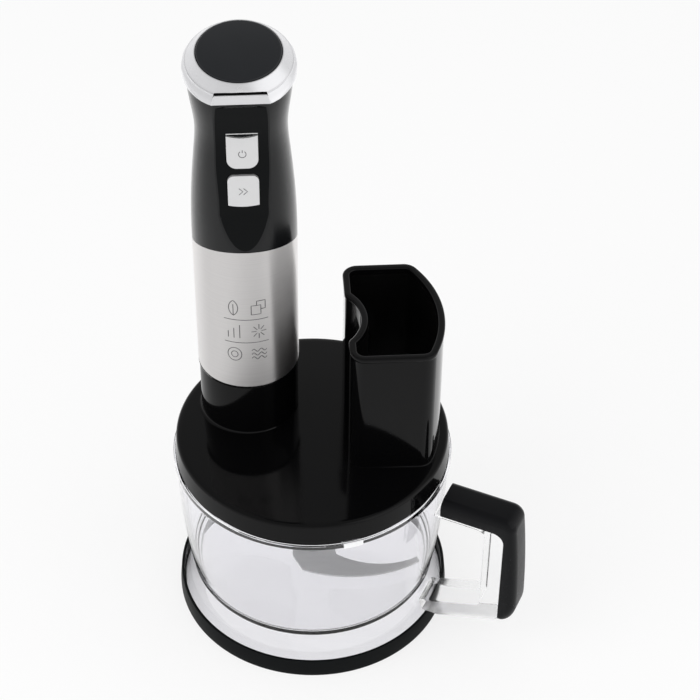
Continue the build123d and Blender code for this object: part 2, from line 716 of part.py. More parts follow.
def gearbox_cover():
    """Plate under the gears, with three screw ears."""
    plate = raised(housing_outline(0), Z_COVER, Z_COVER_TOP)
    ears = [rod(SCREW_BOSS_R, Z_COVER, Z_COVER_TOP, at) for at in screw_places()]
    holes = [rod(SCREW_R + SEAT_GAP, Z_COVER - 1, Z_COVER_TOP + 1, at) for at in screw_places()]
    bush_hole = rod(DOG_CORE_R + BUSH_WALL, Z_COVER - 1, Z_COVER_TOP + 1)
    pin_hole = rod(IDLER_PIN_R, Z_COVER_TOP - PIVOT_DEPTH, Z_COVER_TOP + 1, IDLER_XY)
    pivot_hole = rod(PIVOT_R + RUN_GAP, Z_COVER_TOP - PIVOT_DEPTH, Z_COVER_TOP + 1, MOTOR_XY)
    return plate + ears - holes - bush_hole - pin_hole - pivot_hole


def gearbox_screws():
    """Three screws that hold the cover to the lid."""
    slots = Box(SCREW_SLOT_L, SCREW_SLOT_W, SCREW_SLOT_H) + Box(SCREW_SLOT_W, SCREW_SLOT_L, SCREW_SLOT_H)
    screws = []
    for at in screw_places():
        head = rod(SCREW_HEAD_R, Z_COVER - SCREW_HEAD_H, Z_COVER, at)
        cross = Pos(at[0], at[1], Z_COVER - SCREW_HEAD_H) * slots
        screws.append(head + rod(SCREW_R, Z_COVER - 0.1, Z_COVER + SCREW_LEN, at) - cross)
    return together(screws)


# ---------------------------------------------------------------- lid
def tube_section():
    """Feed tube's outside in plan."""
    middle_y = (TUBE_BACK + TUBE_FRONT) / 2
    blank = Pos(TUBE_LEFT, middle_y) * Rectangle(
        TUBE_OUTER_R, TUBE_BACK - TUBE_FRONT, align=(Align.MIN, Align.CENTER))
    shape = (blank & Circle(TUBE_OUTER_R)) - Circle(TUBE_BITE_R)
    bite_y = math.sqrt(TUBE_BITE_R ** 2 - TUBE_LEFT ** 2)
    near_bite = [v for v in shape.vertices() if abs(abs(v.Y) - bite_y) < 0.01]
    shape = fillet(near_bite, TUBE_BITE_CORNER)
    corners = [v for v in shape.vertices()
               if abs(v.Y - TUBE_BACK) < 0.01 or abs(v.Y - TUBE_FRONT) < 0.01]
    return Rot(0, 0, UNIT_YAW) * fillet(corners, TUBE_CORNER)


def tube_slot():
    """Blind slot with a round head, low in the tube's outer wall."""
    inner, outer = TUBE_OUTER_R - TUBE_SLOT_DEPTH, TUBE_OUTER_R + 2
    head = Z_EDGE + TUBE_SLOT_H - TUBE_SLOT_W / 2
    shape = block((inner, outer), (-TUBE_SLOT_W / 2, TUBE_SLOT_W / 2), (Z_EDGE, head))
    across = extrude(Plane.YZ.offset(inner) * Circle(TUBE_SLOT_W / 2), amount=outer - inner)
    return Rot(0, 0, TUBE_SLOT_AT) * (shape + Pos(0, 0, head) * across)


def lid_shell():
    """Black lid with collar and feed tube moulded in one, and the gear housing under it."""
    skirt_bore = LID_SKIRT_R - LID_SKIRT_T
    wall_bore = LID_EDGE_R - LID_WALL_T
    flat_r = LID_EDGE_R - LID_SHOULDER
    top = ThreePointArc((0, Z_CROWN), (flat_r / 2, Z_EDGE + LID_CROWN * 0.75), (flat_r, Z_EDGE))
    shoulder = ThreePointArc(
        (flat_r, Z_EDGE), (LID_EDGE_R - LID_SHOULDER * 0.293, Z_EDGE - LID_SHOULDER * 0.293),
        (LID_EDGE_R, Z_EDGE - LID_SHOULDER))
    rest = Polyline(
        (LID_EDGE_R, Z_EDGE - LID_SHOULDER), (LID_EDGE_R + LID_TAPER, Z_SEAT), (LID_SKIRT_R, Z_SEAT),
        (LID_SKIRT_R, Z_SKIRT), (skirt_bore, Z_SKIRT), (skirt_bore, Z_SEAT + 1), (wall_bore, Z_SEAT + 3),
        (wall_bore, Z_PLATE), (0, Z_PLATE), (0, Z_CROWN),
    )
    body = turned(top, shoulder, rest)
    lug_top = Z_CHANNEL_TOP - NOTCH_GAP

    def lug(angle):
        return sector(LID_SKIRT_R - 0.5, LUG_R, Z_SKIRT, lug_top, angle, LUG_ANGLE)

    foot_z = Z_EDGE + LID_CROWN / 2
    foot = turned(
        Line((0, foot_z - 1), (COLLAR_R + COLLAR_FOOT, foot_z - 1)),
        Line((COLLAR_R + COLLAR_FOOT, foot_z - 1), (COLLAR_R + COLLAR_FOOT, foot_z)),
        ThreePointArc((COLLAR_R + COLLAR_FOOT, foot_z),
                      (COLLAR_R + COLLAR_FOOT * 0.293, foot_z + COLLAR_FOOT * 0.293),
                      (COLLAR_R, foot_z + COLLAR_FOOT)),
        Polyline((COLLAR_R, foot_z + COLLAR_FOOT), (0, foot_z + COLLAR_FOOT), (0, foot_z - 1)),
    )
    collar = rod(COLLAR_R, Z_PLATE, Z_COLLAR, MOTOR_XY) + Pos(*MOTOR_XY) * foot
    section = tube_section()
    inside = offset(section, amount=-TUBE_WALL)
    tube = raised(section, Z_PLATE - TUBE_BELOW, Z_TUBE)
    lip = raised(offset(section, amount=TUBE_LIP), Z_TUBE - TUBE_LIP_H, Z_TUBE)
    wall = raised(housing_outline(0) - housing_outline(HOUSING_WALL), Z_COVER_TOP, Z_PLATE + 0.5)
    bosses = [rod(SCREW_BOSS_R, Z_COVER_TOP, Z_PLATE + 0.5, at) for at in screw_places()]
    solid = body + round_the_rim(lug, LUG_COUNT, LUG_AT) + collar + tube + lip + wall + bosses
    cuts = [
        rod(COLLAR_BORE_R, Z_COLLAR_FLOOR, Z_COLLAR + 1, MOTOR_XY),
        rod(STEM_R + RUN_GAP, Z_PLATE - 1, Z_COLLAR, MOTOR_XY),
        raised(inside, Z_PLATE - TUBE_BELOW - 1, Z_TUBE + 1),
        rod(PIVOT_R + RUN_GAP, Z_PLATE - 1, Z_PLATE + PIVOT_DEPTH),
        rod(IDLER_PIN_R, Z_PLATE - 1, Z_PLATE + PIVOT_DEPTH, IDLER_XY),
        tube_slot(),
    ]
    cuts += [rod(SCREW_R, Z_COVER_TOP - 1, Z_COVER + SCREW_LEN + SEAT_GAP, at) for at in screw_places()]
    return solid - cuts


# ---------------------------------------------------------------- motor unit, drawn about its own axis
def sloped_space(height, slope, above):
    """Everything above (or below) a plane that rises towards the front."""
    size = 300.0
    tilt = math.degrees(math.atan(slope))
    align = Align.MIN if above else Align.MAX
    return Pos(0, 0, height) * Rot(-tilt, 0, 0) * Box(size, size, size, align=(Align.CENTER, Align.CENTER, align))


def coupling_nose():
    """Black nose that plugs into the lid's collar and carries the sleeve."""
    top = Z_SLEEVE + SPIGOT_H
    recess_top = Z_NOSE + NOSE_RECESS_H
    return turned(
        (NOSE_RECESS_R, Z_NOSE), (NOSE_R - 1, Z_NOSE), (NOSE_R, Z_NOSE + 1), (NOSE_R, Z_NOSE_FLANGE),
        (SLEEVE_R, Z_NOSE_FLANGE), (SLEEVE_R, Z_SLEEVE), (SLEEVE_BORE_R, Z_SLEEVE), (SLEEVE_BORE_R, top),
        (SLEEVE_BORE_R - SPIGOT_T, top), (SLEEVE_BORE_R - SPIGOT_T, Z_SLEEVE + 1), (NOSE_R - NOSE_WALL, Z_SLEEVE - 3),
        (NOSE_R - NOSE_WALL, recess_top + NOSE_WALL), (SHAFT_R + 1, recess_top + NOSE_WALL), (SHAFT_R + 1, recess_top),
        (NOSE_RECESS_R, recess_top),
    )


def steel_sleeve():
    """Brushed steel sleeve round the motor, cut at a slope at its top."""
    blank = pipe(SLEEVE_R, SLEEVE_BORE_R, Z_SLEEVE, Z_SLEEVE_TOP + SLEEVE_R)
    return blank - sloped_space(Z_SLEEVE_TOP, SLEEVE_SLOPE, above=True)


def grip_line(inset):
    """Radius of the grip at each height as one smooth curve, from below the sleeve's edge to the top ring."""
    low = Z_SLEEVE_TOP - 20
    rows = [
        (SLEEVE_R, low), (SLEEVE_R, Z_SLEEVE_TOP), (SHOULDER_R, Z_TOP - SHOULDER_DROP),
        (WAIST_R + 1.0, Z_TOP - WAIST_DROP - 16), (WAIST_R, Z_TOP - WAIST_DROP),
        (GRIP_TOP_R - 1.9, Z_TOP - 10), (GRIP_TOP_R, Z_TOP + 6),
    ]
    return [(r - inset, z) for r, z in rows]


def grip_blank(inset):
    """The grip's turned form, moved in by inset."""
    rows = grip_line(inset)
    curve = Spline(*rows[1:], tangents=((0, 1), (0.25, 1)))
    rest = Polyline(rows[-1], (0, rows[-1][1]), (0, rows[0][1]), rows[0], rows[1])
    return turned(curve, rest)


def front_line(inset):
    """Side view of the flat front: (distance before the axis, height) points."""
    def flat(radius):
        return math.sqrt(radius ** 2 - FLAT_HALF ** 2) - inset

    return [
        (flat(GRIP_TOP_R), Z_TOP + 4), (flat(WAIST_R + 1.9), Z_TOP - 16), (flat(WAIST_R), Z_TOP - WAIST_DROP),
        (flat(WAIST_R + 1.6), Z_TOP - WAIST_DROP - 22), (flat(SHOULDER_R), Z_TOP - CREASE_DROP),
    ]


def front_space(inset, low=None, high=None, half_width=CUT_REACH / 2):
    """Everything before the front line, across the unit; inset moves it towards the axis."""
    points = front_line(inset)
    scoop = (SLEEVE_R + 0.2 - inset, Z_TOP - SCOOP_DROP)
    curve = Spline(*points)
    rest = Polyline(points[-1], scoop, (CUT_REACH, scoop[1]), (CUT_REACH, points[0][1]), points[0])
    face = make_face([curve, rest])
    space = extrude(Plane.YZ * (Rot(0, 180, 0) * face), amount=half_width, both=True)
    return space


def grip_shell():
    """Black grip, hollow, with the recess for the control panel."""
    outside = grip_blank(0) - front_space(0)
    outside -= sloped_space(Z_SLEEVE_TOP, SLEEVE_SLOPE, above=False)
    spigot = pipe(SLEEVE_BORE_R, SLEEVE_BORE_R - SPIGOT_T, Z_SLEEVE_TOP - 30, Z_SLEEVE_TOP + SLEEVE_R)
    spigot &= sloped_space(Z_SLEEVE_TOP - SPIGOT_H, SLEEVE_SLOPE, above=True)
    spigot -= sloped_space(Z_SLEEVE_TOP + 1, SLEEVE_SLOPE, above=True)
    inside = grip_blank(GRIP_SHELL_T) - front_space(GRIP_SHELL_T + PANEL_T)
    shell = outside - inside + spigot
    shell -= TILT * block((-60, 60), (-60, 60), (0, 60))
    shell -= panel_blank(PANEL_GAP)
    for outline in (power_outline(), turbo_outline()):
        shell -= across(offset(outline, amount=BUTTON_GAP + BUTTON_FLANGE + 0.4), -40, -5)
    board_low = Z_TOP - BOARD_DROP - BOARD_H
    hold = BOARD_W / 2 - RAIL_GRIP
    near, far = -BOARD_BACK - RAIL_T, -BOARD_BACK + BOARD_T + RAIL_T
    rails = [block(span, (near, far), (board_low, board_low + BOARD_H)) for span in ((-40, -hold), (hold, 40))]
    shell += together(rails) & grip_blank(GRIP_SHELL_T / 2)
    board_slot = block((-BOARD_W / 2, BOARD_W / 2), (-BOARD_BACK, -BOARD_BACK + BOARD_T),
                       (board_low, board_low + BOARD_H + 1))
    return shell - gland_hole() - board_slot


def across(sketch, low_y, high_y):
    """A front-view sketch (X, Z) made solid between two depths."""
    return extrude(Plane.XZ.offset(-high_y) * sketch, amount=high_y - low_y)


def panel_blank(gap):
    """The control panel, or the pocket it sits in when gap is given."""
    slab = front_space(PANEL_T + gap) - front_space(0)
    slab &= grip_blank(PANEL_INSET - gap)
    top = Z_TOP - PANEL_TOP_DROP + gap
    low = Z_TOP - SCOOP_DROP
    slab &= block((-FLAT_HALF, FLAT_HALF), (-60, 0), (low, top))
    return slab - sloped_space(Z_SLEEVE_TOP + SEAT_GAP, SLEEVE_SLOPE, above=False)


def control_panel():
    """Glossy panel on the flat front, with two button windows."""
    panel = panel_blank(0)
    for outline in (power_outline(), turbo_outline()):
        panel -= across(offset(outline, amount=BUTTON_GAP), -60, 0)
    return panel


def power_outline():
    """Upper button from the front: dished top edge, round lower corners."""
    half = BUTTON_W / 2
    top = Z_TOP - POWER_DROP
    low = top - POWER_H
    edges = [
        ThreePointArc((-half, top), (0, top - POWER_DISH), (half, top)),
        Line((half, top), (half, low + BUTTON_ROUND)),
        ThreePointArc((half, low + BUTTON_ROUND),
                      (half - BUTTON_ROUND * 0.293, low + BUTTON_ROUND * 0.293), (half - BUTTON_ROUND, low)),
        Line((half - BUTTON_ROUND, low), (BUTTON_ROUND - half, low)),
        ThreePointArc((BUTTON_ROUND - half, low),
                      (BUTTON_ROUND * 0.293 - half, low + BUTTON_ROUND * 0.293), (-half, low + BUTTON_ROUND)),
        Line((-half, low + BUTTON_ROUND), (-half, top)),
    ]
    return make_face(edges)


def turbo_outline():
    """Lower button from the front: round upper corners, bowed lower edge."""
    half = BUTTON_W / 2
    top = Z_TOP - TURBO_DROP
    low = top - TURBO_H
    corner = BUTTON_ROUND * 0.7
    edges = [
        Line((corner - half, top), (half - corner, top)),
        ThreePointArc((half - corner, top), (half - corner * 0.293, top - corner * 0.293), (half, top - corner)),
        Line((half, top - corner), (half, low + 1)),
        ThreePointArc((half, low + 1), (0, low), (-half, low + 1)),
        Line((-half, low + 1), (-half, top - corner)),
        ThreePointArc((-half, top - corner), (corner * 0.293 - half, top - corner * 0.293), (corner - half, top)),
    ]
    return make_face(edges)


def button(outline, stem_z):
    """A button cap that follows the front, its flange behind the panel and its stem."""
    flange_front = PANEL_T + SEAT_GAP
    flange_back = flange_front + BUTTON_FLANGE
    cap = across(outline, -60, 0) & (front_space(flange_back) - front_space(-BUTTON_PROUD))
    flange = across(offset(outline, amount=BUTTON_GAP + BUTTON_FLANGE), -60, 0)
    flange &= front_space(flange_back) - front_space(flange_front)
    stem_back = -BOARD_BACK - SWITCH_H / 2 - BUTTON_TRAVEL - SEAT_GAP
    stem = across(Pos(0, stem_z) * Circle(BUTTON_STEM_R), -60, stem_back) - front_space(flange_front)
    return cap + flange + stem


def power_button():
    """Upper button."""
    return button(power_outline(), Z_TOP - POWER_DROP - POWER_H / 2)


def turbo_button():
    """Lower button."""
    return button(turbo_outline(), Z_TOP - TURBO_DROP - TURBO_H / 2)


def micro_switches():
    """Two switches on the board behind the buttons."""
    half = SWITCH_W / 2
    switches = []
    for z in (Z_TOP - POWER_DROP - POWER_H / 2, Z_TOP - TURBO_DROP - TURBO_H / 2):
        switches.append(block((-half, half), (-BOARD_BACK - SWITCH_H / 2, -BOARD_BACK), (z - half, z + half)))
    return together(switches)


def control_board():
    """Circuit board held in the grip's side slots."""
    low = Z_TOP - BOARD_DROP - BOARD_H
    return block((-BOARD_W / 2, BOARD_W / 2), (-BOARD_BACK, -BOARD_BACK + BOARD_T), (low, low + BOARD_H))


def top_ring():
    """Chromed top ring on the tilted top of the grip, with its flat front and slot."""
    bore = DIAL_R + DIAL_GAP
    stem_bore = DIAL_STEM_R + RUN_GAP
    top = RING_CAP_H + RING_CAP_RISE
    low = RING_CAP_SEAT
    plug_bore = RING_PLUG_R - RING_PLUG_T
    ring = turned(
        (stem_bore, low), (plug_bore, low), (plug_bore, low - RING_PLUG_H), (RING_PLUG_R, low - RING_PLUG_H),
        (RING_PLUG_R, low), (RING_CAP_R + 2, low), (RING_CAP_R + 2, low + 0.5), (RING_CAP_TOP_R, RING_CAP_H - 0.4),
        (RING_CAP_TOP_R - 0.8, RING_CAP_H), (bore + 0.4, top), (bore, top - 0.4),
        (bore, low + RING_CAP_FLOOR_T), (stem_bore, low + RING_CAP_FLOOR_T),
    )
    trim = rod(RING_CAP_R, Z_TOP - 30, Z_TOP + 30) & block((-40, 40), (-RING_CAP_FLAT, 40), (0, 2 * Z_TOP))
    slot_low = RING_CAP_H - SLOT_H - SLOT_DROP
    front = -RING_CAP_FLAT - TILT_BACK
    slot = block((-SLOT_W / 2, SLOT_W / 2), (front - 4, front + SLOT_DEPTH), (slot_low, slot_low + SLOT_H))
    return TILT * (ring - slot) & trim


def speed_dial():
    """Soft black dial in the top ring, on a stem into the speed control."""
    top = DIAL_TOP
    low = top - DIAL_T
    stem_low = RING_CAP_SEAT - POT_H + 2
    crown = ThreePointArc((0, top + DIAL_CROWN), (DIAL_R / 2, top + DIAL_CROWN * 0.75), (DIAL_R - DIAL_EDGE, top))
    edge = ThreePointArc((DIAL_R - DIAL_EDGE, top), (DIAL_R - DIAL_EDGE * 0.293, top - DIAL_EDGE * 0.293),
                         (DIAL_R, top - DIAL_EDGE))
    rest = Polyline((DIAL_R, top - DIAL_EDGE), (DIAL_R, low), (DIAL_STEM_R, low), (DIAL_STEM_R, stem_low),
                    (0, stem_low), (0, top + DIAL_CROWN))
    return TILT * turned(crown, edge, rest)


def speed_control():
    """Rotary speed control under the top ring's floor."""
    top = RING_CAP_SEAT
    body = rod(POT_R, top - POT_H, top)
    return TILT * (body - rod(DIAL_STEM_R + RUN_GAP, top - POT_H + 1.5, top + 1))


def gland_frame():
    """Place of the cord gland at the back of the grip, pointing out and up."""
    return Location((0, WAIST_R + 0.6, Z_TOP - GLAND_DROP)) * Location((0, 0, 0), (-90 + GLAND_TILT, 0, 0))


def gland_hole():
    """Hole through the grip's wall, with a flat for the gland's flange."""
    return gland_frame() * (rod(GLAND_R, -12, 12) + rod(GLAND_FLANGE_R, GLAND_SEAT, 2 * GLAND_LEN))


def cord_gland():
    """Rubber gland with the cord's bore, its flange outside the grip."""
    taper = 0.8
    body = turned(
        (GLAND_BORE_R, -6), (GLAND_R, -6), (GLAND_R, GLAND_SEAT), (GLAND_FLANGE_R, GLAND_SEAT),
        (GLAND_FLANGE_R, GLAND_SEAT + GLAND_FLANGE_T), (GLAND_R, GLAND_SEAT + GLAND_FLANGE_T + 1),
        (GLAND_R - taper, GLAND_LEN), (GLAND_BORE_R, GLAND_LEN),
    )
    return gland_frame() * body - grip_blank(GRIP_SHELL_T + 2.5)


# ---------------------------------------------------------------- motor
def motor_frame():
    """Plastic frame: two bearing plates joined by two arms."""
    low_top = Z_MOTOR + FRAME_PLATE_T
    high = Z_BRIDGE + FRAME_PLATE_T
    body = pipe(FRAME_R, BEARING_R, Z_MOTOR, high) - rod(CORE_R, low_top, Z_BRIDGE)
    window = 180 - FRAME_ARM_ANGLE
    windows = [sector(CORE_R - 2, FRAME_R + 2, low_top, Z_BRIDGE, angle, window) for angle in (90, 270)]
    vents = [Rot(0, 0, angle) * rod(VENT_R, Z_MOTOR - 1, high + 1, (VENT_OUT, 0)) for angle in range(30, 390, 60)]
    return body - windows - vents


def field_core():
    """Laminated stator with its two coils."""
    low = Z_MOTOR + FRAME_PLATE_T + CORE_LIFT
    core = pipe(CORE_R, CORE_BORE_R, low, low + CORE_H)
    coil = [sector(CORE_BORE_R + 1, CORE_BORE_R + 1 + COIL_T, low - COIL_H, low + CORE_H + COIL_H, angle, 110)
            for angle in (90, 270)]
    return core + coil


def armature():
    """Wound rotor on the shaft."""
    low = Z_MOTOR + FRAME_PLATE_T + CORE_LIFT - 1
    body = pipe(ARMATURE_R, SHAFT_R, low, low + CORE_H + 2)
    slots = [Rot(0, 0, angle) * block((ARMATURE_R - 3, ARMATURE_R + 1), (-0.8, 0.8), (low - 1, low + CORE_H + 3))
             for angle in range(0, 360, 30)]
    return body - slots


def commutator():
    """Copper commutator above the armature."""
    low = Z_MOTOR + FRAME_PLATE_T + COMMUTATOR_LIFT
    return pipe(COMMUTATOR_R, SHAFT_R, low, low + COMMUTATOR_H)


def brushes():
    """Two carbon brushes in their holders, from the frame's arms to the commutator."""
    low = Z_MOTOR + FRAME_PLATE_T + COMMUTATOR_LIFT + (COMMUTATOR_H - BRUSH_H) / 2
    half = BRUSH_W / 2
    near = COMMUTATOR_R + 0.1
    bars = [block((near, CORE_R + 0.5), (-half, half), (low, low + BRUSH_H)),
            block((-CORE_R - 0.5, -near), (-half, half), (low, low + BRUSH_H))]
    return together([bar & rod(CORE_R, low - 1, low + BRUSH_H + 1) for bar in bars])


def motor_shaft():
    """Steel shaft from the drive hexagon to the upper bearing."""
    return rod(SHAFT_R, Z_NOSE + NOSE_RECESS_H - 6, Z_BRIDGE + FRAME_PLATE_T + SHAFT_ABOVE)


def bearing(low):
    """A plain ball bearing, as one ring."""
    return pipe(BEARING_R, SHAFT_R + RUN_GAP, low, low + BEARING_H)


def cooling_fan():
    """Radial fan under the armature."""
    low = Z_MOTOR + FRAME_PLATE_T + FAN_LIFT
    body = pipe(FAN_HUB_R, SHAFT_R, low, low + FAN_H) + pipe(FAN_R, SHAFT_R, low, low + 1.4)
    blades = [Rot(0, 0, index * 360 / FAN_BLADES) * block(
        (FAN_HUB_R - 1, FAN_R), (-FAN_BLADE_T / 2, FAN_BLADE_T / 2), (low + 1, low + FAN_H))
        for index in range(FAN_BLADES)]
    return body + blades


def drive_coupling():
    """Hexagon on the shaft's end that drives the input gear's stem."""
    low = Z_COLLAR_FLOOR + 1
    high = Z_NOSE + NOSE_RECESS_H - SEAT_GAP
    return raised(hexagon(HEX_FLATS - 2 * HEX_GAP), low, high) - rod(
        SHAFT_R, Z_NOSE + NOSE_RECESS_H - 6, high + 1)


# ---------------------------------------------------------------- build every node
BOWL_NODES = {
    "non_slip_ring": non_slip_ring, "base_disc": base_disc, "bowl": bowl, "spindle_pin": spindle_pin,
    "blade_hub": blade_hub, "lower_blade": lower_blade, "upper_blade": upper_blade,
}
HANDLE_NODES = {"handle_frame": handle_frame, "handle_grip": handle_grip}
LID_NODES = {
    "lid_shell": lid_shell, "gearbox_cover": gearbox_cover, "gearbox_screws": gearbox_screws,
    "input_gear": input_gear, "idler_gear": idler_gear, "idler_pin": idler_pin,
    "output_gear": output_gear, "output_bush": output_bush,
}
UNIT_NODES = {
    "coupling_nose": coupling_nose, "steel_sleeve": steel_sleeve, "grip_shell": grip_shell,
    "control_panel": control_panel, "power_button": power_button, "turbo_button": turbo_button,
    "micro_switches": micro_switches, "control_board": control_board, "top_ring": top_ring,
    "speed_dial": speed_dial, "speed_control": speed_control, "cord_gland": cord_gland,
    "motor_frame": motor_frame, "field_core": field_core, "armature": armature,
    "commutator": commutator, "brushes": brushes, "motor_shaft": motor_shaft,
    "lower_bearing": lambda: bearing(Z_MOTOR), "upper_bearing": lambda: bearing(Z_BRIDGE),
    "cooling_fan": cooling_fan, "drive_coupling": drive_coupling,
}


def main():
    """Build and write every node in its place."""
    os.makedirs("parts", exist_ok=True)
    groups = [
        (Location(), BOWL_NODES), (HANDLE, HANDLE_NODES), (Location(), LID_NODES), (UNIT, UNIT_NODES),
    ]
    for place, nodes in groups:
        for name, make in nodes.items():
            save(place * make(), name)


main()
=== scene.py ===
"""Looks of a stick blender whose motor unit is docked on its processor bowl.

Sizes are in millimetres and places are in the row frame: +Z up along the bowl's axis, -Y to the front.
Each sub-assembly is a class that builds its own pieces and dresses them.
"""

from __future__ import annotations

import logging
import math
from dataclasses import dataclass
from enum import Enum
from typing import Iterable, Sequence

import bmesh
import bpy
from mathutils import Matrix, Vector

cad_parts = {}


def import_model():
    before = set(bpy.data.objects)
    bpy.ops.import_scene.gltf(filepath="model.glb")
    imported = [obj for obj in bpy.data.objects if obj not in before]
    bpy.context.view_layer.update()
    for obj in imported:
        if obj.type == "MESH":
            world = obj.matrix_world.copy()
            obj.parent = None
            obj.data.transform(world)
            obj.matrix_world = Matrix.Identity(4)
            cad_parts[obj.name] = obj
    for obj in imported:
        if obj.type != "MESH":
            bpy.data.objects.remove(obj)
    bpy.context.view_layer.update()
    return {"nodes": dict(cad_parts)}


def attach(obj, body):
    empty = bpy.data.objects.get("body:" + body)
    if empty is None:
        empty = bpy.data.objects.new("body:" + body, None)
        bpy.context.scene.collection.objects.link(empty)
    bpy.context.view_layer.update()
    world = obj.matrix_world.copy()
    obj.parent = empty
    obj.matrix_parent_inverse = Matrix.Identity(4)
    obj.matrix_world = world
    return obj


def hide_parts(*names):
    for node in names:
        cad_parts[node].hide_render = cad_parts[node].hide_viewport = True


log = logging.getLogger("scene")

MM = 0.001
MOTOR_AT = (-36.7307, 22.5969)     # the motor unit's axis, from the bowl's
YAW = 3.1                          # degrees that the motor unit and the feed tube are turned by
NOISE_SPAN = (0.3, 0.7)            # where most values of a noise texture lie
HAIR_HEIGHT = 0.000008             # metres, of the lines in brushed metal
MERGE = 1e-4                       # points closer than this become one
MERGE_CAD = 2e-3                   # the same in a CAD node's mesh
SLACK = 0.1                        # for telling which edges lie at a place

Point = tuple[float, float]
Colour = tuple[float, float, float]
Socket = str | int


# ---------------------------------------------------------------- finishes
class Wiring:
    """The node tree of a material or a world, emptied and filled one node at a time."""

    def __init__(self, owner: bpy.types.Material | bpy.types.World) -> None:
        """Start with an empty node tree.

        Args:
            owner: The material or world that the tree belongs to.
        """
        owner.use_nodes = True
        self.tree = owner.node_tree
        self.tree.nodes.clear()

    def add(self, kind: str, **values: object) -> bpy.types.Node:
        """Add a node and set its plain properties.

        Args:
            kind: Blender's node type.
            **values: Properties of the node, by name.

        Returns:
            The new node.
        """
        node = self.tree.nodes.new(kind)
        for key, value in values.items():
            setattr(node, key, value)
        return node

    def wire(self, source: bpy.types.Node, out: Socket, target: bpy.types.Node, into: Socket) -> None:
        """Link one node's output to another node's input."""
        self.tree.links.new(source.outputs[out], target.inputs[into])

    def combine(self, operation: str, *sources: tuple[bpy.types.Node, Socket]) -> bpy.types.Node:
        """A maths node fed by other nodes.

        Args:
            operation: What it works out, by Blender's name.
            *sources: Each input's node and output.

        Returns:
            The maths node.
        """
        node = self.add("ShaderNodeMath", operation=operation)
        for index, (source, out) in enumerate(sources):
            self.wire(source, out, node, index)
        return node

    def ramp(self, source: bpy.types.Node, out: Socket, reads: Point, gives: Point) -> bpy.types.Node:
        """Map one range of values on to another.

        Args:
            source: Node with the value.
            out: Its output.
            reads: The value's own low and high end.
            gives: What they become.

        Returns:
            The map range node.
        """
        node = self.add("ShaderNodeMapRange")
        for name, value in zip(("From Min", "From Max", "To Min", "To Max"), (*reads, *gives)):
            node.inputs[name].default_value = value
        self.wire(source, out, node, "Value")
        return node

    def coordinate(self, kind: str, out: str, axis: str) -> tuple[bpy.types.Node, str]:
        """One axis of a place.

        Args:
            kind: Blender's type of the node that gives the place.
            out: Its output.
            axis: X, Y or Z.

        Returns:
            The node that splits the place, and its output.
        """
        parts = self.add("ShaderNodeSeparateXYZ")
        self.wire(self.add(kind), out, parts, "Vector")
        return parts, axis


class NodeBoard(Wiring):
    """Shader nodes of one material round a principled surface."""

    def __init__(self, name: str) -> None:
        """Start with a bare surface.

        Args:
            name: Name of the material.
        """
        self.material = bpy.data.materials.new(name)
        super().__init__(self.material)
        self.output = self.add("ShaderNodeOutputMaterial")
        self.surface = self.add("ShaderNodeBsdfPrincipled")
        self.wire(self.surface, "BSDF", self.output, "Surface")

    def set(self, **values: object) -> None:
        """Set the shader's own sockets; underscores stand for spaces."""
        for key, value in values.items():
            self.surface.inputs[key.replace("_", " ")].default_value = value

    def coordinates(self, scale: tuple[float, float, float]) -> bpy.types.Node:
        """Object coordinates with a scale for each axis.

        Args:
            scale: Repeats per metre along X, Y and Z.

        Returns:
            The mapping node.
        """
        source = self.add("ShaderNodeTexCoord")
        mapping = self.add("ShaderNodeMapping")
        mapping.inputs["Scale"].default_value = scale
        self.wire(source, "Object", mapping, "Vector")
        return mapping

    def noise(self, scale: tuple[float, float, float], detail: float) -> bpy.types.Node:
        """A noise texture on object coordinates.

        Args:
            scale: Repeats per metre along X, Y and Z.
            detail: Octaves of detail.

        Returns:
            The noise node.
        """
        node = self.add("ShaderNodeTexNoise")
        node.inputs["Scale"].default_value = 1.0
        node.inputs["Detail"].default_value = detail
        self.wire(self.coordinates(scale), "Vector", node, "Vector")
        return node

    def spread(self, source: bpy.types.Node, low: float, high: float) -> bpy.types.Node:
        """Map a texture's middle range on to two values.

        Args:
            source: Node with the texture.
            low: Value at the dark end.
            high: Value at the light end.

        Returns:
            The map range node.
        """
        return self.ramp(source, "Fac", NOISE_SPAN, (low, high))

    def bump(self, source: bpy.types.Node, depth: float, distance: float) -> None:
        """Feed a texture to the shader's normal.

        Args:
            source: Node with the texture.
            depth: Strength from 0 to 1.
            distance: Height in metres.
        """
        node = self.add("ShaderNodeBump")
        node.inputs["Strength"].default_value = depth
        node.inputs["Distance"].default_value = distance
        self.wire(source, "Fac", node, "Height")
        self.wire(node, "Normal", self.surface, "Normal")

    def tint(self, source: bpy.types.Node, colour: Colour, dark: float, light: float) -> None:
        """Vary the base colour by a texture.

        Args:
            source: Node with the texture.
            colour: The colour itself.
            dark: Factor for the texture's dark end.
            light: Factor for its light end.
        """
        node = self.add("ShaderNodeMix", data_type="RGBA")
        node.inputs["A"].default_value = (*shaded(colour, dark), 1.0)
        node.inputs["B"].default_value = (*shaded(colour, light), 1.0)
        self.wire(self.spread(source, 0.0, 1.0), "Result", node, "Factor")
        self.wire(node, "Result", self.surface, "Base Color")

    def roughen(self, source: bpy.types.Node, roughness: float, smooth: float, rough: float) -> None:
        """Vary the roughness by a texture.

        Args:
            source: Node with the texture.
            roughness: The roughness itself.
            smooth: Factor for the texture's dark end.
            rough: Factor for its light end.
        """
        level = self.spread(source, roughness * smooth, roughness * rough)
        self.wire(level, "Result", self.surface, "Roughness")


def shaded(colour: Colour, factor: float) -> Colour:
    """A colour made darker or lighter by a factor."""
    return tuple(min(1.0, value * factor) for value in colour)


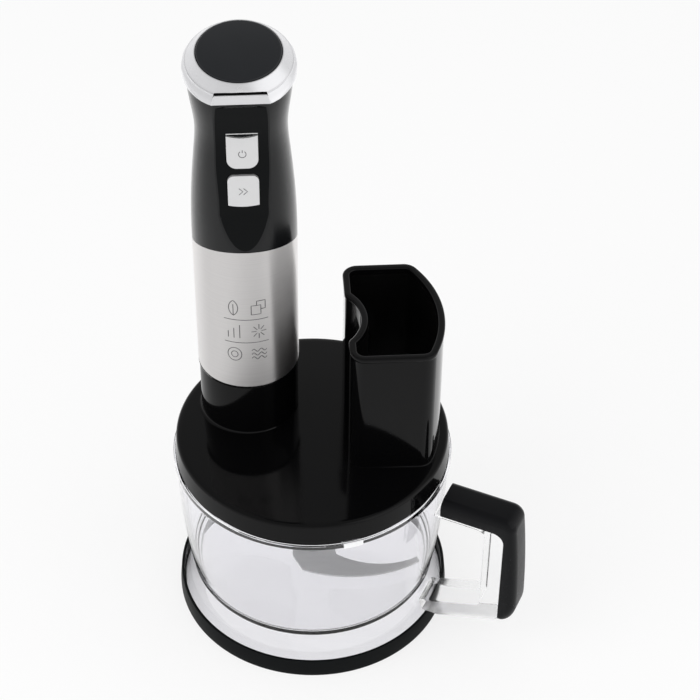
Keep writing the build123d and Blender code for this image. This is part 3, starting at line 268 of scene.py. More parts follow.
@dataclass(frozen=True)
class Finish:
    """A named finish whose material is made once."""

    name: str

    def paint(self, board: NodeBoard) -> None:
        """Set up the shader's nodes.

        Args:
            board: The material's nodes.
        """
        raise NotImplementedError

    def material(self) -> bpy.types.Material:
        """The material, made the first time that it is asked for.

        Returns:
            The material.
        """
        title = f"look_{self.name}"
        known = bpy.data.materials.get(title)
        if known:
            return known
        board = NodeBoard(title)
        self.paint(board)
        return board.material


@dataclass(frozen=True)
class Moulded(Finish):
    """Moulded plastic or rubber with a fine grain and a slight mottle."""

    colour: Colour
    roughness: float
    grain: float = 900.0
    grain_height: float = 0.00002
    grain_depth: float = 0.15
    mottle: float = 0.08
    specular: float = 0.5
    cloud: float = 35.0
    uneven: Point = (0.88, 1.12)

    def paint(self, board: NodeBoard) -> None:
        """Set up the shader's nodes.

        Args:
            board: The material's nodes.
        """
        board.set(Specular_IOR_Level=self.specular)
        cloud = board.noise((self.cloud, self.cloud, self.cloud), 3)
        board.tint(cloud, self.colour, 1 - self.mottle, 1 + self.mottle)
        board.roughen(cloud, self.roughness, *self.uneven)
        fine = board.noise((self.grain, self.grain, self.grain), 2)
        board.bump(fine, self.grain_depth, self.grain_height)


@dataclass(frozen=True)
class Brushed(Finish):
    """Brushed metal whose hairlines run round, along or across a piece."""

    colour: Colour
    roughness: float
    lines: tuple[float, float, float] = (3, 3, 1500)
    line_depth: float = 0.2
    anisotropy: float = 0.5
    upright_glint: bool = False
    streak: float = 0.06
    metal: float = 1.0
    uneven: Point = (0.8, 1.25)

    def paint(self, board: NodeBoard) -> None:
        """Set up the shader's nodes.

        Args:
            board: The material's nodes.
        """
        board.set(Metallic=self.metal, Anisotropic=self.anisotropy)
        board.set(Anisotropic_Rotation=0.25 if self.upright_glint else 0.0)
        round_z = board.add("ShaderNodeTangent", direction_type="RADIAL", axis="Z")
        board.wire(round_z, "Tangent", board.surface, "Tangent")
        hairs = board.noise(self.lines, 4)
        board.tint(hairs, self.colour, 1 - self.streak, 1 + self.streak)
        board.roughen(hairs, self.roughness, *self.uneven)
        board.bump(hairs, self.line_depth, HAIR_HEIGHT)


@dataclass(frozen=True)
class Chromed(Finish):
    """Plated plastic: bright, with faint smudges in its roughness."""

    colour: Colour
    roughness: float
    metal: float = 1.0
    smudge: float = 60.0
    mottle: Point = (0.97, 1.02)
    uneven: Point = (0.7, 1.3)

    def paint(self, board: NodeBoard) -> None:
        """Set up the shader's nodes.

        Args:
            board: The material's nodes.
        """
        board.set(Metallic=self.metal)
        smudge = board.noise((self.smudge, self.smudge, self.smudge), 4)
        board.tint(smudge, self.colour, *self.mottle)
        board.roughen(smudge, self.roughness, *self.uneven)


@dataclass(frozen=True)
class Clear(Finish):
    """Clear moulded plastic with a slight flow pattern."""

    colour: Colour
    roughness: float
    ior: float = 1.45
    flow: tuple[float, float, float] = (12.0, 12.0, 30.0)
    mottle: Point = (0.985, 1.0)
    uneven: Point = (0.6, 1.4)

    def paint(self, board: NodeBoard) -> None:
        """Set up the shader's nodes.

        Args:
            board: The material's nodes.
        """
        board.set(Transmission_Weight=1.0, IOR=self.ior)
        flow = board.noise(self.flow, 2)
        board.tint(flow, self.colour, *self.mottle)
        board.roughen(flow, self.roughness, *self.uneven)


GLOSS_BLACK = Moulded("gloss_black", (0.0018, 0.0018, 0.002), 0.09, 500, 0.000004, 0.05, 0.05, 0.15)
SOFT_BLACK = Moulded("soft_black", (0.0042, 0.0045, 0.005), 0.2, 1500, 0.00001, 0.12, 0.06, 0.28)
HANDLE_BLACK = Moulded("handle_black", (0.0032, 0.0034, 0.0042), 0.28, 1500, 0.00001, 0.12, 0.06, 0.13)
PANEL_BLACK = Moulded("panel_black", (0.002, 0.0025, 0.0028), 0.15, 700, 0.000004, 0.05, 0.05, 0.09)
# dull black for plates that paint shade: the top ring's recess and the feed tube's bore
SHADE_BLACK = Moulded("shade_black", (0.002, 0.002, 0.002), 0.6, 700, 0.000004, 0.05, 0.05, 0.04)
RUBBER = Moulded("black_rubber", (0.0028, 0.0036, 0.004), 0.4, 1100, 0.00003, 0.2, 0.1, 0.09)
DIAL_BLACK = Moulded("dial_black", (0.01, 0.0112, 0.0132), 0.34, 1800, 0.000012, 0.12, 0.05, 0.26)
PRINT_GREY = Moulded("print_grey", (0.06, 0.06, 0.064), 0.5, 2000, 0.000002, 0.05, 0.04)
PRINT_DARK = Moulded("print_dark", (0.02, 0.02, 0.022), 0.5, 2000, 0.000002, 0.05, 0.04)
WHITE_PLASTIC = Moulded("white_plastic", (0.62, 0.62, 0.61), 0.35)
GEAR_PLASTIC = Moulded("gear_plastic", (0.68, 0.67, 0.62), 0.4)
BOARD_GREEN = Moulded("board_green", (0.02, 0.13, 0.05), 0.35, 300, 0.00005, 0.3)
CARBON = Moulded("carbon", (0.02, 0.02, 0.02), 0.55)
CLEAR = Clear("clear_plastic", (0.95, 0.948, 0.965), 0.003)
# opaque pale plates that paint the highlight on the bowl's clear catches
CATCH_GLINT_WHITE = Moulded("catch_glint", (0.95, 0.95, 0.96), 0.12, 400, 0.000004, 0.05, 0.02)
FROSTED = Clear("frosted_plastic", (0.975, 0.976, 0.98), 0.16, 1.22)
SLEEVE_STEEL = Brushed("sleeve_steel", (0.68, 0.665, 0.66), 0.36, (3, 3, 1500), 0.12, 0.9, True, 0.05)
BLADE_STEEL = Brushed("blade_steel", (0.92, 0.92, 0.93), 0.45, (40, 260, 40), 0.04, 0.3,
                      streak=0.03, metal=0.2)
PLAIN_STEEL = Brushed("plain_steel", (0.55, 0.55, 0.55), 0.3, (200, 200, 600), 0.1, 0.2)
CORE_STEEL = Brushed("core_steel", (0.2, 0.2, 0.21), 0.5, (20, 20, 1800), 0.4, 0.1, streak=0.2)
COPPER = Brushed("copper_bars", (0.7, 0.33, 0.18), 0.3, (200, 200, 900), 0.1, 0.2)
BRONZE = Brushed("sintered_bronze", (0.5, 0.34, 0.16), 0.45, (900, 900, 900), 0.2, 0.0)
RING_SATIN = Chromed("ring_satin", (0.7, 0.7, 0.715), 0.32, 0.8)
BUTTON_SATIN = Chromed("button_satin", (0.7, 0.7, 0.705), 0.4, 0.7)


# ---------------------------------------------------------------- modelling bench
class Bench:
    """A bmesh in millimetres, the tools that shape it and the step that makes it a piece."""

    def __init__(self) -> None:
        """Start with an empty mesh."""
        self.bm = bmesh.new()

    def line(self, points: Iterable[Sequence[float]], closed: bool = False) -> list[bmesh.types.BMEdge]:
        """Join points with edges.

        Args:
            points: Places in millimetres.
            closed: Whether the last point joins the first.

        Returns:
            The edges in order.
        """
        verts = [self.bm.verts.new(point) for point in points]
        pairs = list(zip(verts, verts[1:]))
        if closed:
            pairs.append((verts[-1], verts[0]))
        return [self.bm.edges.new(pair) for pair in pairs]

    def turn(self, outline: Sequence[Point], steps: int = 144, closed: bool = True) -> None:
        """Spin an outline of (radius, height) points round Z.

        Args:
            outline: The half section.
            steps: Number of facets round.
            closed: Whether the section is a closed ring.
        """
        edges = self.line([(r, 0.0, z) for r, z in outline], closed)
        verts = list({vert for edge in edges for vert in edge.verts})
        bmesh.ops.spin(self.bm, geom=edges + verts, cent=(0, 0, 0), axis=(0, 0, 1), dvec=(0, 0, 0),
                       angle=math.tau, steps=steps, use_merge=True, use_duplicate=False)
        bmesh.ops.remove_doubles(self.bm, verts=self.bm.verts, dist=MERGE)

    def wedge(self, section: Sequence[Point], start: float, sweep: float, steps: int) -> None:
        """Sweep a closed section of (radius, height) points round Z by part of a turn.

        Args:
            section: The section.
            start: First angle in degrees.
            sweep: Degrees that it is swept by.
            steps: Number of facets along the way.
        """
        edges = self.line([(r, 0, z) for r, z in section], closed=True)
        face = bmesh.ops.contextual_create(self.bm, geom=edges)["faces"][0]
        first = Matrix.Rotation(math.radians(start), 3, "Z")
        bmesh.ops.rotate(self.bm, cent=(0, 0, 0), matrix=first, verts=list(face.verts))
        bmesh.ops.spin(self.bm, geom=[face], cent=(0, 0, 0), axis=(0, 0, 1), dvec=(0, 0, 0),
                       angle=math.radians(sweep), steps=steps, use_merge=False, use_duplicate=False)

    def loft(self, outlines: Sequence[Sequence[Sequence[float]]], around: bool = False) -> None:
        """Join closed outlines one after another with walls.

        Args:
            outlines: Closed outlines with the same number of points, as places in millimetres.
            around: Whether the last outline also joins the first.
        """
        loops = [self.line(outline, closed=True) for outline in outlines]
        pairs = list(zip(loops, loops[1:]))
        if around:
            pairs.append((loops[-1], loops[0]))
        for low, high in pairs:
            bmesh.ops.bridge_loops(self.bm, edges=low + high)

    def plate(self, points: Sequence[Sequence[float]]) -> bmesh.types.BMFace:
        """One flat face from its corners."""
        return self.bm.faces.new([self.bm.verts.new(point) for point in points])

    def open_edges(self) -> list[bmesh.types.BMEdge]:
        """Edges at the border of an opening."""
        return [edge for edge in self.bm.edges if edge.is_boundary]

    def face_out(self) -> None:
        """Point all faces outwards."""
        bmesh.ops.recalc_face_normals(self.bm, faces=self.bm.faces)

    def pull(self, face: bmesh.types.BMFace, vector: Sequence[float]) -> None:
        """Extrude a face along a vector, keeping it as the base.

        Args:
            face: The face.
            vector: Direction and length in millimetres.
        """
        grown = bmesh.ops.extrude_face_region(self.bm, geom=[face], use_keep_orig=True)
        moved = [item for item in grown["geom"] if isinstance(item, bmesh.types.BMVert)]
        bmesh.ops.translate(self.bm, verts=moved, vec=vector)

    def ease(self, edges: Iterable[bmesh.types.BMEdge], radius: float, segments: int = 3) -> None:
        """Round edges.

        Args:
            edges: Edges to round.
            radius: Width of the rounding.
            segments: Facets across it.
        """
        bmesh.ops.bevel(self.bm, geom=list(edges), offset=radius, offset_type="OFFSET", segments=segments,
                        profile=0.5, affect="EDGES", material=-1, clamp_overlap=True)

    def sharp_edges(self, angle: float) -> list[bmesh.types.BMEdge]:
        """Edges between two faces that meet at more than an angle in degrees.

        Args:
            angle: The angle.

        Returns:
            The edges.
        """
        limit = math.radians(angle)
        return [edge for edge in self.bm.edges
                if len(edge.link_faces) == 2 and edge.calc_face_angle(0) > limit]

    def cut(self, place: Sequence[float], normal: Sequence[float], drop: bool = False) -> None:
        """Cut everything by a plane.

        Args:
            place: A point on the plane.
            normal: Its normal; what lies that way can be dropped.
            drop: Whether the part in front is removed.
        """
        geom = list(self.bm.verts) + list(self.bm.edges) + list(self.bm.faces)
        bmesh.ops.bisect_plane(self.bm, geom=geom, dist=MERGE, plane_co=place, plane_no=normal,
                               clear_outer=drop, clear_inner=False)

    def copy_node(self, node: str) -> None:
        """Start from a merged copy of a CAD node's mesh.

        Args:
            node: Name of the node.
        """
        mesh = bpy.data.objects[node].data
        self.bm.from_mesh(mesh)
        bmesh.ops.scale(self.bm, vec=(1 / MM, 1 / MM, 1 / MM), verts=self.bm.verts)
        bmesh.ops.remove_doubles(self.bm, verts=self.bm.verts, dist=MERGE_CAD)

    def move(self, matrix: Matrix) -> None:
        """Move everything by a matrix in millimetres."""
        bmesh.ops.transform(self.bm, matrix=matrix, verts=self.bm.verts)

    def swing(self, angle: float) -> None:
        """Turn everything about Z by an angle in degrees."""
        self.move(Matrix.Rotation(math.radians(angle), 4, "Z"))

    def piece(self, name: str, finish: Finish, body: str, *nodes: str, slot: str, crease: float = 32.0,
              outward: bool = True) -> bpy.types.Object:
        """Make the mesh a finished object that rides on a body.

        Args:
            name: Name of the piece.
            finish: Its finish.
            body: The body it moves with.
            *nodes: CAD nodes that it stands for.
            slot: The record's material slot; not used.
            crease: Angle in degrees above which an edge stays sharp.
            outward: Whether normals are worked out anew.

        Returns:
            The object.
        """
        bm = self.bm
        bmesh.ops.remove_doubles(bm, verts=bm.verts, dist=MERGE)
        if outward:
            self.face_out()
        bmesh.ops.scale(bm, vec=(MM, MM, MM), verts=bm.verts)
        mesh = bpy.data.meshes.new(name)
        bm.to_mesh(mesh)
        bm.free()
        mesh.shade_smooth()
        mesh.set_sharp_from_angle(angle=math.radians(crease))
        mesh.materials.append(finish.material())
        item = bpy.data.objects.new(name, mesh)
        bpy.context.scene.collection.objects.link(item)
        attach(item, body)
        if nodes:
            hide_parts(*nodes)
        log.info("piece %s: %d faces on %s", name, len(mesh.polygons), body)
        return item


def even_flow(item: bpy.types.Object) -> None:
    """Weight a piece's normals by face size, so that flats beside roundings stay flat.

    Args:
        item: The piece.
    """
    modifier = item.modifiers.new("even_flow", "WEIGHTED_NORMAL")
    modifier.keep_sharp = True
    modifier.weight = 60


def arc(centre: Point, radius: float, start: float, end: float, steps: int) -> list[Point]:
    """Points on an arc.

    Args:
        centre: Its centre.
        radius: Its radius.
        start: First angle in degrees.
        end: Last angle in degrees.
        steps: Number of parts.

    Returns:
        The points from start to end.
    """
    angles = [math.radians(start + (end - start) * index / steps) for index in range(steps + 1)]
    return [(centre[0] + radius * math.cos(a), centre[1] + radius * math.sin(a)) for a in angles]


def flowing(points: Sequence[Point], parts: int) -> list[Point]:
    """A smooth line through a few points.

    Args:
        points: The points it passes.
        parts: Parts between each two.

    Returns:
        Points along the line.
    """
    ends = [(2 * points[0][0] - points[1][0], 2 * points[0][1] - points[1][1])]
    ends += list(points)
    ends.append((2 * points[-1][0] - points[-2][0], 2 * points[-1][1] - points[-2][1]))
    line: list[Point] = []
    for a, b, c, d in zip(ends, ends[1:], ends[2:], ends[3:]):
        for index in range(parts):
            t = index / parts
            line.append(tuple(
                0.5 * (2 * b[k] + (c[k] - a[k]) * t + (2 * a[k] - 5 * b[k] + 4 * c[k] - d[k]) * t ** 2
                       + (3 * b[k] - a[k] - 3 * c[k] + d[k]) * t ** 3) for k in (0, 1)))
    line.append(points[-1])
    return line


# ---------------------------------------------------------------- base
@dataclass
class Base:
    """Non-slip ring with its closing disc."""

    outer_r: float = 82.0
    taper: float = 0.9
    height: float = 11.6
    bore_r: float = 79.4
    ledge_r: float = 77.6
    ledge_h: float = 2.0
    lip_round: float = 0.55

    def ring(self) -> None:
        """Turn the rubber ring and round its lips."""
        bench = Bench()
        top_r = self.outer_r - self.taper
        bench.turn([
            (self.ledge_r, 0.0), (self.outer_r, 0.0), (self.outer_r, self.ledge_h), (top_r, self.height),
            (self.bore_r, self.height), (self.bore_r, self.ledge_h), (self.ledge_r, self.ledge_h),
        ])
        bench.ease(bench.sharp_edges(40), self.lip_round)
        bench.piece("ring_rubber", RUBBER, "base", "non_slip_ring", slot="black_rubber")

    def build(self, nodes: dict[str, bpy.types.Object]) -> None:
        """Build the ring and dress the disc."""
        self.ring()
        dress_all(nodes, {"base_disc": CLEAR})


# ---------------------------------------------------------------- bowl
@dataclass
class Bowl:
    """Clear bowl with a flared skirt and a channel in its ridged rim."""

    foot_z: float = 2.2
    foot_r: float = 79.1
    under_z: float = 25.8
    floor_z: float = 28.0
    floor_r: float = 73.4
    floor_inset: float = 1.2
    floor_round: float = 5.0
    top_r: float = 80.2
    bulge: float = 1.35
    wall: float = 2.3
    skirt_t: float = 2.0
    ridge_z: float = 107.5
    ridge_r: float = 81.4
    ridge_h: float = 5.0
    ridge_slope: float = 0.8
    rim_bevel: float = 0.4
    channel_z: float = 108.2
    channel_h: float = 2.8
    channel_r: float = 79.8
    notch_r: float = 79.4
    notch_at: float = -73.3
    notch_deg: float = 8.0
    glint_low: float = 0.9
    glint_high: float = 0.3
    glint_sunk: float = 0.2
    glint_proud: float = 0.18
    boss_r: float = 7.0
    boss_z: float = 30.2
    pin_r: float = 3.15
    pin_floor: float = 1.0
    facets: int = 180

    def wall_line(self, inset: float, low: Point, high_z: float) -> list[Point]:
        """The bowed wall from a low point up to a height, moved in by inset.

        Args:
            inset: How far it lies inside the outer face.
            low: Radius and height where it starts.
            high_z: Height where it ends.

        Returns:
            Its points from the bottom up.
        """
        top = (self.top_r - inset, high_z)
        points = []
        steps = 12
        for index in range(steps + 1):
            t = index / steps
            bow = 4 * t * (1 - t) * self.bulge
            points.append((low[0] + (top[0] - low[0]) * t + bow, low[1] + (top[1] - low[1]) * t))
        return points

    def open_notches(self, bench: Bench, bore: float, roof: float) -> None:
        """Open the four notches through the channel's roof.

        Args:
            bench: Where the bowl is made.
            bore: Radius of the rim's bore.
            roof: Height of the channel's roof.
        """
        bm = bench.bm
        taken = []
        for face in bm.faces:
            centre = face.calc_center_median()
            radius = centre.xy.length
            turn = math.degrees(math.atan2(centre.y, centre.x)) - self.notch_at
            near = abs((turn + 45) % 90 - 45) < self.notch_deg / 2
            if near and centre.z > roof - SLACK / 10 and bore - SLACK < radius < self.notch_r:
                taken.append(face)
        bmesh.ops.delete(bm, geom=taken, context="FACES")
        walls = [edge for edge in bench.open_edges()
                 if min(vert.co.xy.length for vert in edge.verts) > self.notch_r - SLACK]
        notch_w = self.notch_r * math.radians(self.notch_deg)
        for corner in range(4):
            around = Matrix.Rotation(math.radians(self.notch_at + 90 * corner), 2)
            middle = around @ Vector((self.notch_r, 0))
            near_by = [edge for edge in walls if (edge.verts[0].co.xy - middle).length < notch_w]
            bmesh.ops.bridge_loops(bm, edges=near_by)
        bmesh.ops.holes_fill(bm, edges=bench.open_edges(), sides=4)

    def catch_glints(self) -> None:
        """Pale plates in the ridge below the notches: a painted highlight on the clear catches."""
        bench = Bench()
        low, high = self.ridge_z + self.glint_low, self.ridge_z + self.ridge_h - self.glint_high
        inner, outer = self.ridge_r - self.glint_sunk, self.ridge_r + self.glint_proud
        section = ((inner, low), (outer, low), (outer, high), (inner, high))
        for corner in range(4):
            start = self.notch_at - self.notch_deg / 2 + 90 * corner
            bench.wedge(section, start, self.notch_deg, 8)
        # the plates are a painted highlight on the clear catches
        bench.piece("bowl_catches", CATCH_GLINT_WHITE, "bowl_unit", slot="clear_plastic")

    def build(self) -> None:
        """Turn the bowl in one closed section and add the painted highlights on its catches."""
        bore = self.top_r - self.wall
        inner_low = (self.floor_r - self.wall + self.floor_inset, self.floor_z + self.floor_round)
        outer = self.wall_line(0.0, (self.floor_r, self.under_z), self.ridge_z)
        inner = self.wall_line(self.wall, inner_low, self.channel_z)
        corner = arc((inner_low[0] - self.floor_round, inner_low[1]), self.floor_round, 0, -90, 8)
        rim, roof = self.ridge_z + self.ridge_h, self.channel_z + self.channel_h
        section = outer + [
            (self.ridge_r, self.ridge_z + self.ridge_slope), (self.ridge_r, rim - self.rim_bevel),
            (self.ridge_r - self.rim_bevel, rim),
            (self.notch_r, rim), (bore, rim), (bore, roof), (self.notch_r, roof),
            (self.channel_r, roof), (self.channel_r, self.channel_z),
        ]
        section += list(reversed(inner)) + corner[1:]
        pin_z = self.under_z + self.pin_floor
        section += [
            (self.boss_r, self.floor_z), (self.boss_r, self.boss_z), (self.pin_r, self.boss_z),
            (self.pin_r, pin_z), (0.0, pin_z), (0.0, self.under_z),
            (self.floor_r - self.skirt_t, self.under_z), (self.foot_r - self.skirt_t, self.foot_z),
            (self.foot_r, self.foot_z),
        ]
        bench = Bench()
        bench.turn(section, self.facets)
        self.open_notches(bench, bore, roof)
        bench.piece("bowl_clear", CLEAR, "bowl_unit", "bowl", slot="clear_plastic", crease=28)
        self.catch_glints()


@dataclass
class BowlHandle:
    """Clear frame and black grip on the side of the bowl."""

    turn_deg: float = -24.6
    width: float = 21.0
    start: float = 85.6
    top_z: float = 109.0
    arm_h: float = 10.6
    outer: float = 134.7
    inner: float = 124.8
    lean: float = 4.6
    bow: float = 2.6
    end_z: float = 24.8
    corner: float = 8.0
    inner_corner: float = 7.0
    foot_round: Point = (9.0, 16.0)
    soft: float = 5.0
    inner_soft: float = 1.0
    root: float = 81.7
    foot_root: Point = (77.0, 74.5)
    strip: float = 2.4
    web: float = 12.2
    low_z: float = 12.4
    foot_top: float = 20.4
    level_end: float = 87.0
    foot_rise: float = 0.333
    toe: float = 2.0
    bend_r: float = 4.0
    heel_r: float = 3.0
    frame_inset: float = 0.4
    frame_soft: float = 0.9

    def upright(self, bench: Bench, outline: Sequence[Point], half: float) -> None:
        """A side-view outline made solid across the handle.

        Args:
            bench: Where the piece is made.
            outline: Its distances from the bowl's axis and heights.
            half: Half its width.
        """
        face = bench.plate([(x, -half, z) for x, z in outline])
        bench.pull(face, (0, 2 * half, 0))
        bench.face_out()

    def rims(self, bench: Bench, half: float, outer: bool) -> list[bmesh.types.BMEdge]:
        """Edges along both side faces.

        Args:
            bench: Where the grip is made.
            half: Half its width.
            outer: Whether the ones on its outer side are wanted, or those on its inner side.

        Returns:
            The edges.
        """
        chosen = []
        inside, below, begun = self.inner + 0.4, self.top_z - 1, self.start + SLACK
        for edge in bench.bm.edges:
            sides = [vert.co.y for vert in edge.verts]
            if any(abs(abs(side) - half) > 1e-3 for side in sides) or sides[0] * sides[1] < 0:
                continue
            middle = (edge.verts[0].co + edge.verts[1].co) / 2
            away = middle.x > inside or middle.z > below
            if away == outer and middle.x > begun:
                chosen.append(edge)
        return chosen

    def grip(self) -> None:
        """Black grip with full roundings outside and small ones inside."""
        bench = Bench()
        arm_z = self.top_z - self.arm_h
        across, tall = self.foot_round
        steps = 12
        back: list[Point] = []
        top = self.top_z - self.corner
        low_end = self.end_z + tall
        for index in range(steps + 1):
            z = top + (low_end - top) * index / steps
            level = (self.top_z - z) / (self.top_z - self.end_z)
            back.append((self.outer - self.lean * (1 - level) + 2 * self.bow * level * (1 - level), z))
        turns = [math.radians(-90 * k / steps) for k in range(1, steps + 1)]
        low = [(back[-1][0] - across + across * math.cos(a), low_end + tall * math.sin(a)) for a in turns]
        high = arc((back[0][0] - self.corner, top), self.corner, 90, 0, 10)
        reach = self.inner_corner
        inside = arc((self.inner - reach, arm_z - reach), reach, 0, 90, 8)
        outline = [(self.start, arm_z), (self.start, self.top_z)] + high[:-1] + back + low
        outline += [(self.inner, self.end_z)] + inside
        half = self.width / 2
        self.upright(bench, outline, half)
        bench.ease(self.rims(bench, half, True), self.soft, 8)
        bench.ease(self.rims(bench, half, False), self.inner_soft)
        bench.swing(self.turn_deg)
        bench.piece("handle_black", HANDLE_BLACK, "bowl_unit", "handle_grip", slot="soft_black", crease=60)

    def frame(self) -> None:
        """Frosted clear frame: arm strip, inner upright and sloping foot arm."""
        bench = Bench()
        arm_z = self.top_z - self.arm_h
        strip_z = arm_z - self.strip
        near = self.inner - self.web
        reach, bend_r, heel_r, toe = self.inner_corner, self.bend_r, self.heel_r, self.toe
        foot_low = self.low_z + self.foot_rise * (self.inner - self.level_end)
        foot_high = self.foot_top + self.foot_rise * (near - self.foot_root[1])
        bend = arc((near - bend_r, strip_z - bend_r), bend_r, 90, 0, 6)
        shoulder = arc((self.inner - reach, arm_z - reach), reach, 90, 0, 8)
        heel = arc((near - heel_r, foot_high + heel_r), heel_r, 0, -90, 5)
        outline = [(self.root, strip_z), (self.root, arm_z)] + shoulder
        outline += [(self.inner, foot_low + toe), (self.inner - toe, foot_low), (self.level_end, self.low_z)]
        outline += [(self.foot_root[0], self.low_z), (self.foot_root[1], self.foot_top)]
        outline += list(reversed(heel)) + list(reversed(bend))
        self.upright(bench, outline, self.width / 2 - self.frame_inset)
        bench.ease(bench.sharp_edges(60), self.frame_soft)
        bench.swing(self.turn_deg)
        even_flow(bench.piece("handle_clear", FROSTED, "bowl_unit", "handle_frame", slot="clear_plastic",
                              crease=50))

    def build(self) -> None:
        """Build the grip and the frame."""
        self.grip()
        self.frame()


# ---------------------------------------------------------------- blade
@dataclass
class Blade:
    """Two curved blades on the tall hub."""

    flat_within: float = 2.0

    def arm(self, name: str, node: str) -> None:
        """One blade, its facets joined where they are flat.

        Args:
            name: Name of the piece.
            node: CAD node that it stands for.
        """
        bench = Bench()
        bench.copy_node(node)
        limit = math.radians(self.flat_within)
        bmesh.ops.dissolve_limit(bench.bm, angle_limit=limit, verts=bench.bm.verts, edges=bench.bm.edges)
        bench.face_out()
        bench.piece(name, BLADE_STEEL, "blade", node, slot="steel", crease=25)

    def build(self, nodes: dict[str, bpy.types.Object]) -> None:
        """Build both blades and dress the hub and its pin.

        Args:
            nodes: The frame's nodes.
        """
        self.arm("blade_low", "lower_blade")
        self.arm("blade_high", "upper_blade")
        dress_all(nodes, {"blade_hub": WHITE_PLASTIC, "spindle_pin": PLAIN_STEEL})


# ---------------------------------------------------------------- lid
@dataclass
class Lid:
    """Black lid with collar and feed tube.

    collar_share and tube_share say how much of the crown's height is left at their feet.
    """

    edge_z: float = 125.7
    crown: float = 1.5
    shoulder: float = 2.2
    shoulder_lift: float = 0.06
    edge_r: float = 79.3
    taper: float = 1.1
    wall_t: float = 2.3
    wall_bevel: float = 0.4
    wall_root: Point = (1.0, 3.0)
    seat_z: float = 112.7
    skirt_r: float = 77.6
    skirt_t: float = 2.2
    skirt_z: float = 108.5
    plate_z: float = 123.2
    lug_r: float = 79.1
    lug_top: float = 110.7
    lug_deg: float = 6.8
    lug_at: float = -80.8
    lug_sunk: float = 0.5
    collar_r: float = 28.4
    collar_bore: float = 25.2
    collar_z: float = 162.5
    collar_floor: float = 131.5
    collar_round: float = 0.5
    shaft_r: float = 7.6
    foot: float = 1.8
    foot_sunk: float = 1.5
    tube_foot: float = 0.7
    tube_z: float = 210.0
    tube_low: float = 120.2
    tube_wall: float = 3.6
    tube_lip: float = 0.5
    lip_h: float = 3.0
    rim_round: float = 1.1
    tube_outer: float = 73.6
    tube_bite: float = 27.8
    tube_left: float = 19.8
    tube_back: float = 44.6
    tube_front: float = -35.6
    tube_corner: float = 8.0
    bite_corner: float = 4.0
    slot_at: float = -21.0
    slot_w: float = 2.2
    slot_h: float = 19.0
    slot_depth: float = 1.4
    slot_foot: float = 2.3
    slot_levels: tuple[float, ...] = (-1.1, -0.75, -0.4, -0.15, 0.0, 0.1, 0.4, 2.0)
    slot_fan: tuple[float, ...] = (-1.04, -1.0, -0.75, -0.5, 0.0, 0.5, 0.75, 1.0, 1.04)
    lip_shape: tuple[Point, ...] = ((0.0, 0.0), (0.7, 0.3), (1.0, 0.8))
    inner_shade_top: float = 4.0
    housing_reach: float = 62.0
    collar_share: float = 0.45
    tube_share: float = 0.3
    rings: int = 44
    facets: int = 192
    yaw: float = YAW
    motor: Point = MOTOR_AT

    def cover(self) -> None:
        """The crowned disc with its soft shoulder and skirt, open under the tube and the collar."""
        bench = Bench()
        flat_r = self.edge_r - self.shoulder
        radii = [flat_r * index / self.rings for index in range(self.rings + 1)]
        top = [(r, self.edge_z + self.crown * (1 - (r / self.edge_r) ** 2)) for r in radii]
        shoulder_z = self.edge_z - self.shoulder + self.shoulder_lift
        shoulder = arc((flat_r, shoulder_z), self.shoulder, 88, 4, 8)
        bore = self.skirt_r - self.skirt_t
        wall_bore = self.edge_r - self.wall_t
        foot_r = self.edge_r + self.taper
        root_low, root_high = self.wall_root
        under = [(wall_bore * index / self.rings, self.plate_z) for index in range(self.rings, -1, -1)]
        section = top + shoulder + [
            (foot_r, self.seat_z + self.wall_bevel), (foot_r - self.wall_bevel, self.seat_z),
            (self.skirt_r, self.seat_z), (self.skirt_r, self.skirt_z), (bore, self.skirt_z),
            (bore, self.seat_z + root_low), (wall_bore, self.seat_z + root_high),
        ] + under
        bench.turn(section, self.facets, closed=False)
        motor = Vector(self.motor)
        open_faces = []
        for face in bench.bm.faces:
            x, y, _ = face.calc_center_median()
            if self.in_tube(x, y) or (Vector((x, y)) - motor).length < self.collar_bore:
                open_faces.append(face)
        bmesh.ops.delete(bench.bm, geom=open_faces, context="FACES")
        bench.piece("lid_cover", GLOSS_BLACK, "lid", slot="gloss_black", crease=30)

    def lugs(self) -> None:
        """Four bayonet lugs on the skirt."""
        bench = Bench()
        inner, outer = self.skirt_r - self.lug_sunk, self.lug_r
        low, high = self.skirt_z, self.lug_top
        section = ((inner, low), (outer, low), (outer, high), (inner, high))
        for index in range(4):
            bench.wedge(section, self.lug_at + 90 * index - self.lug_deg / 2, self.lug_deg, 6)
        bench.piece("lid_lugs", GLOSS_BLACK, "lid", slot="gloss_black", crease=30)

    def collar(self) -> None:
        """The round collar that takes the motor unit, with its soft foot."""
        bench = Bench()
        foot_r, foot_z = self.collar_r + self.foot, self.edge_z + self.crown * self.collar_share
        section = [(foot_r, foot_z - self.foot_sunk)]
        section += arc((foot_r, foot_z + self.foot), self.foot, -90, -180, 6)
        section += [
            (self.collar_r, self.collar_z), (self.collar_bore, self.collar_z),
            (self.collar_bore, self.collar_floor), (self.shaft_r, self.collar_floor),
            (self.shaft_r, self.plate_z), (self.collar_r, self.plate_z),
        ]
        bench.turn(section)
        rim = [edge for edge in bench.sharp_edges(50)
               if min(vert.co.z for vert in edge.verts) > self.collar_z - SLACK]
        bench.ease(rim, self.collar_round)
        bench.move(Matrix.Translation((*self.motor, 0)))
        bench.piece("lid_collar", GLOSS_BLACK, "lid", slot="gloss_black", crease=30)

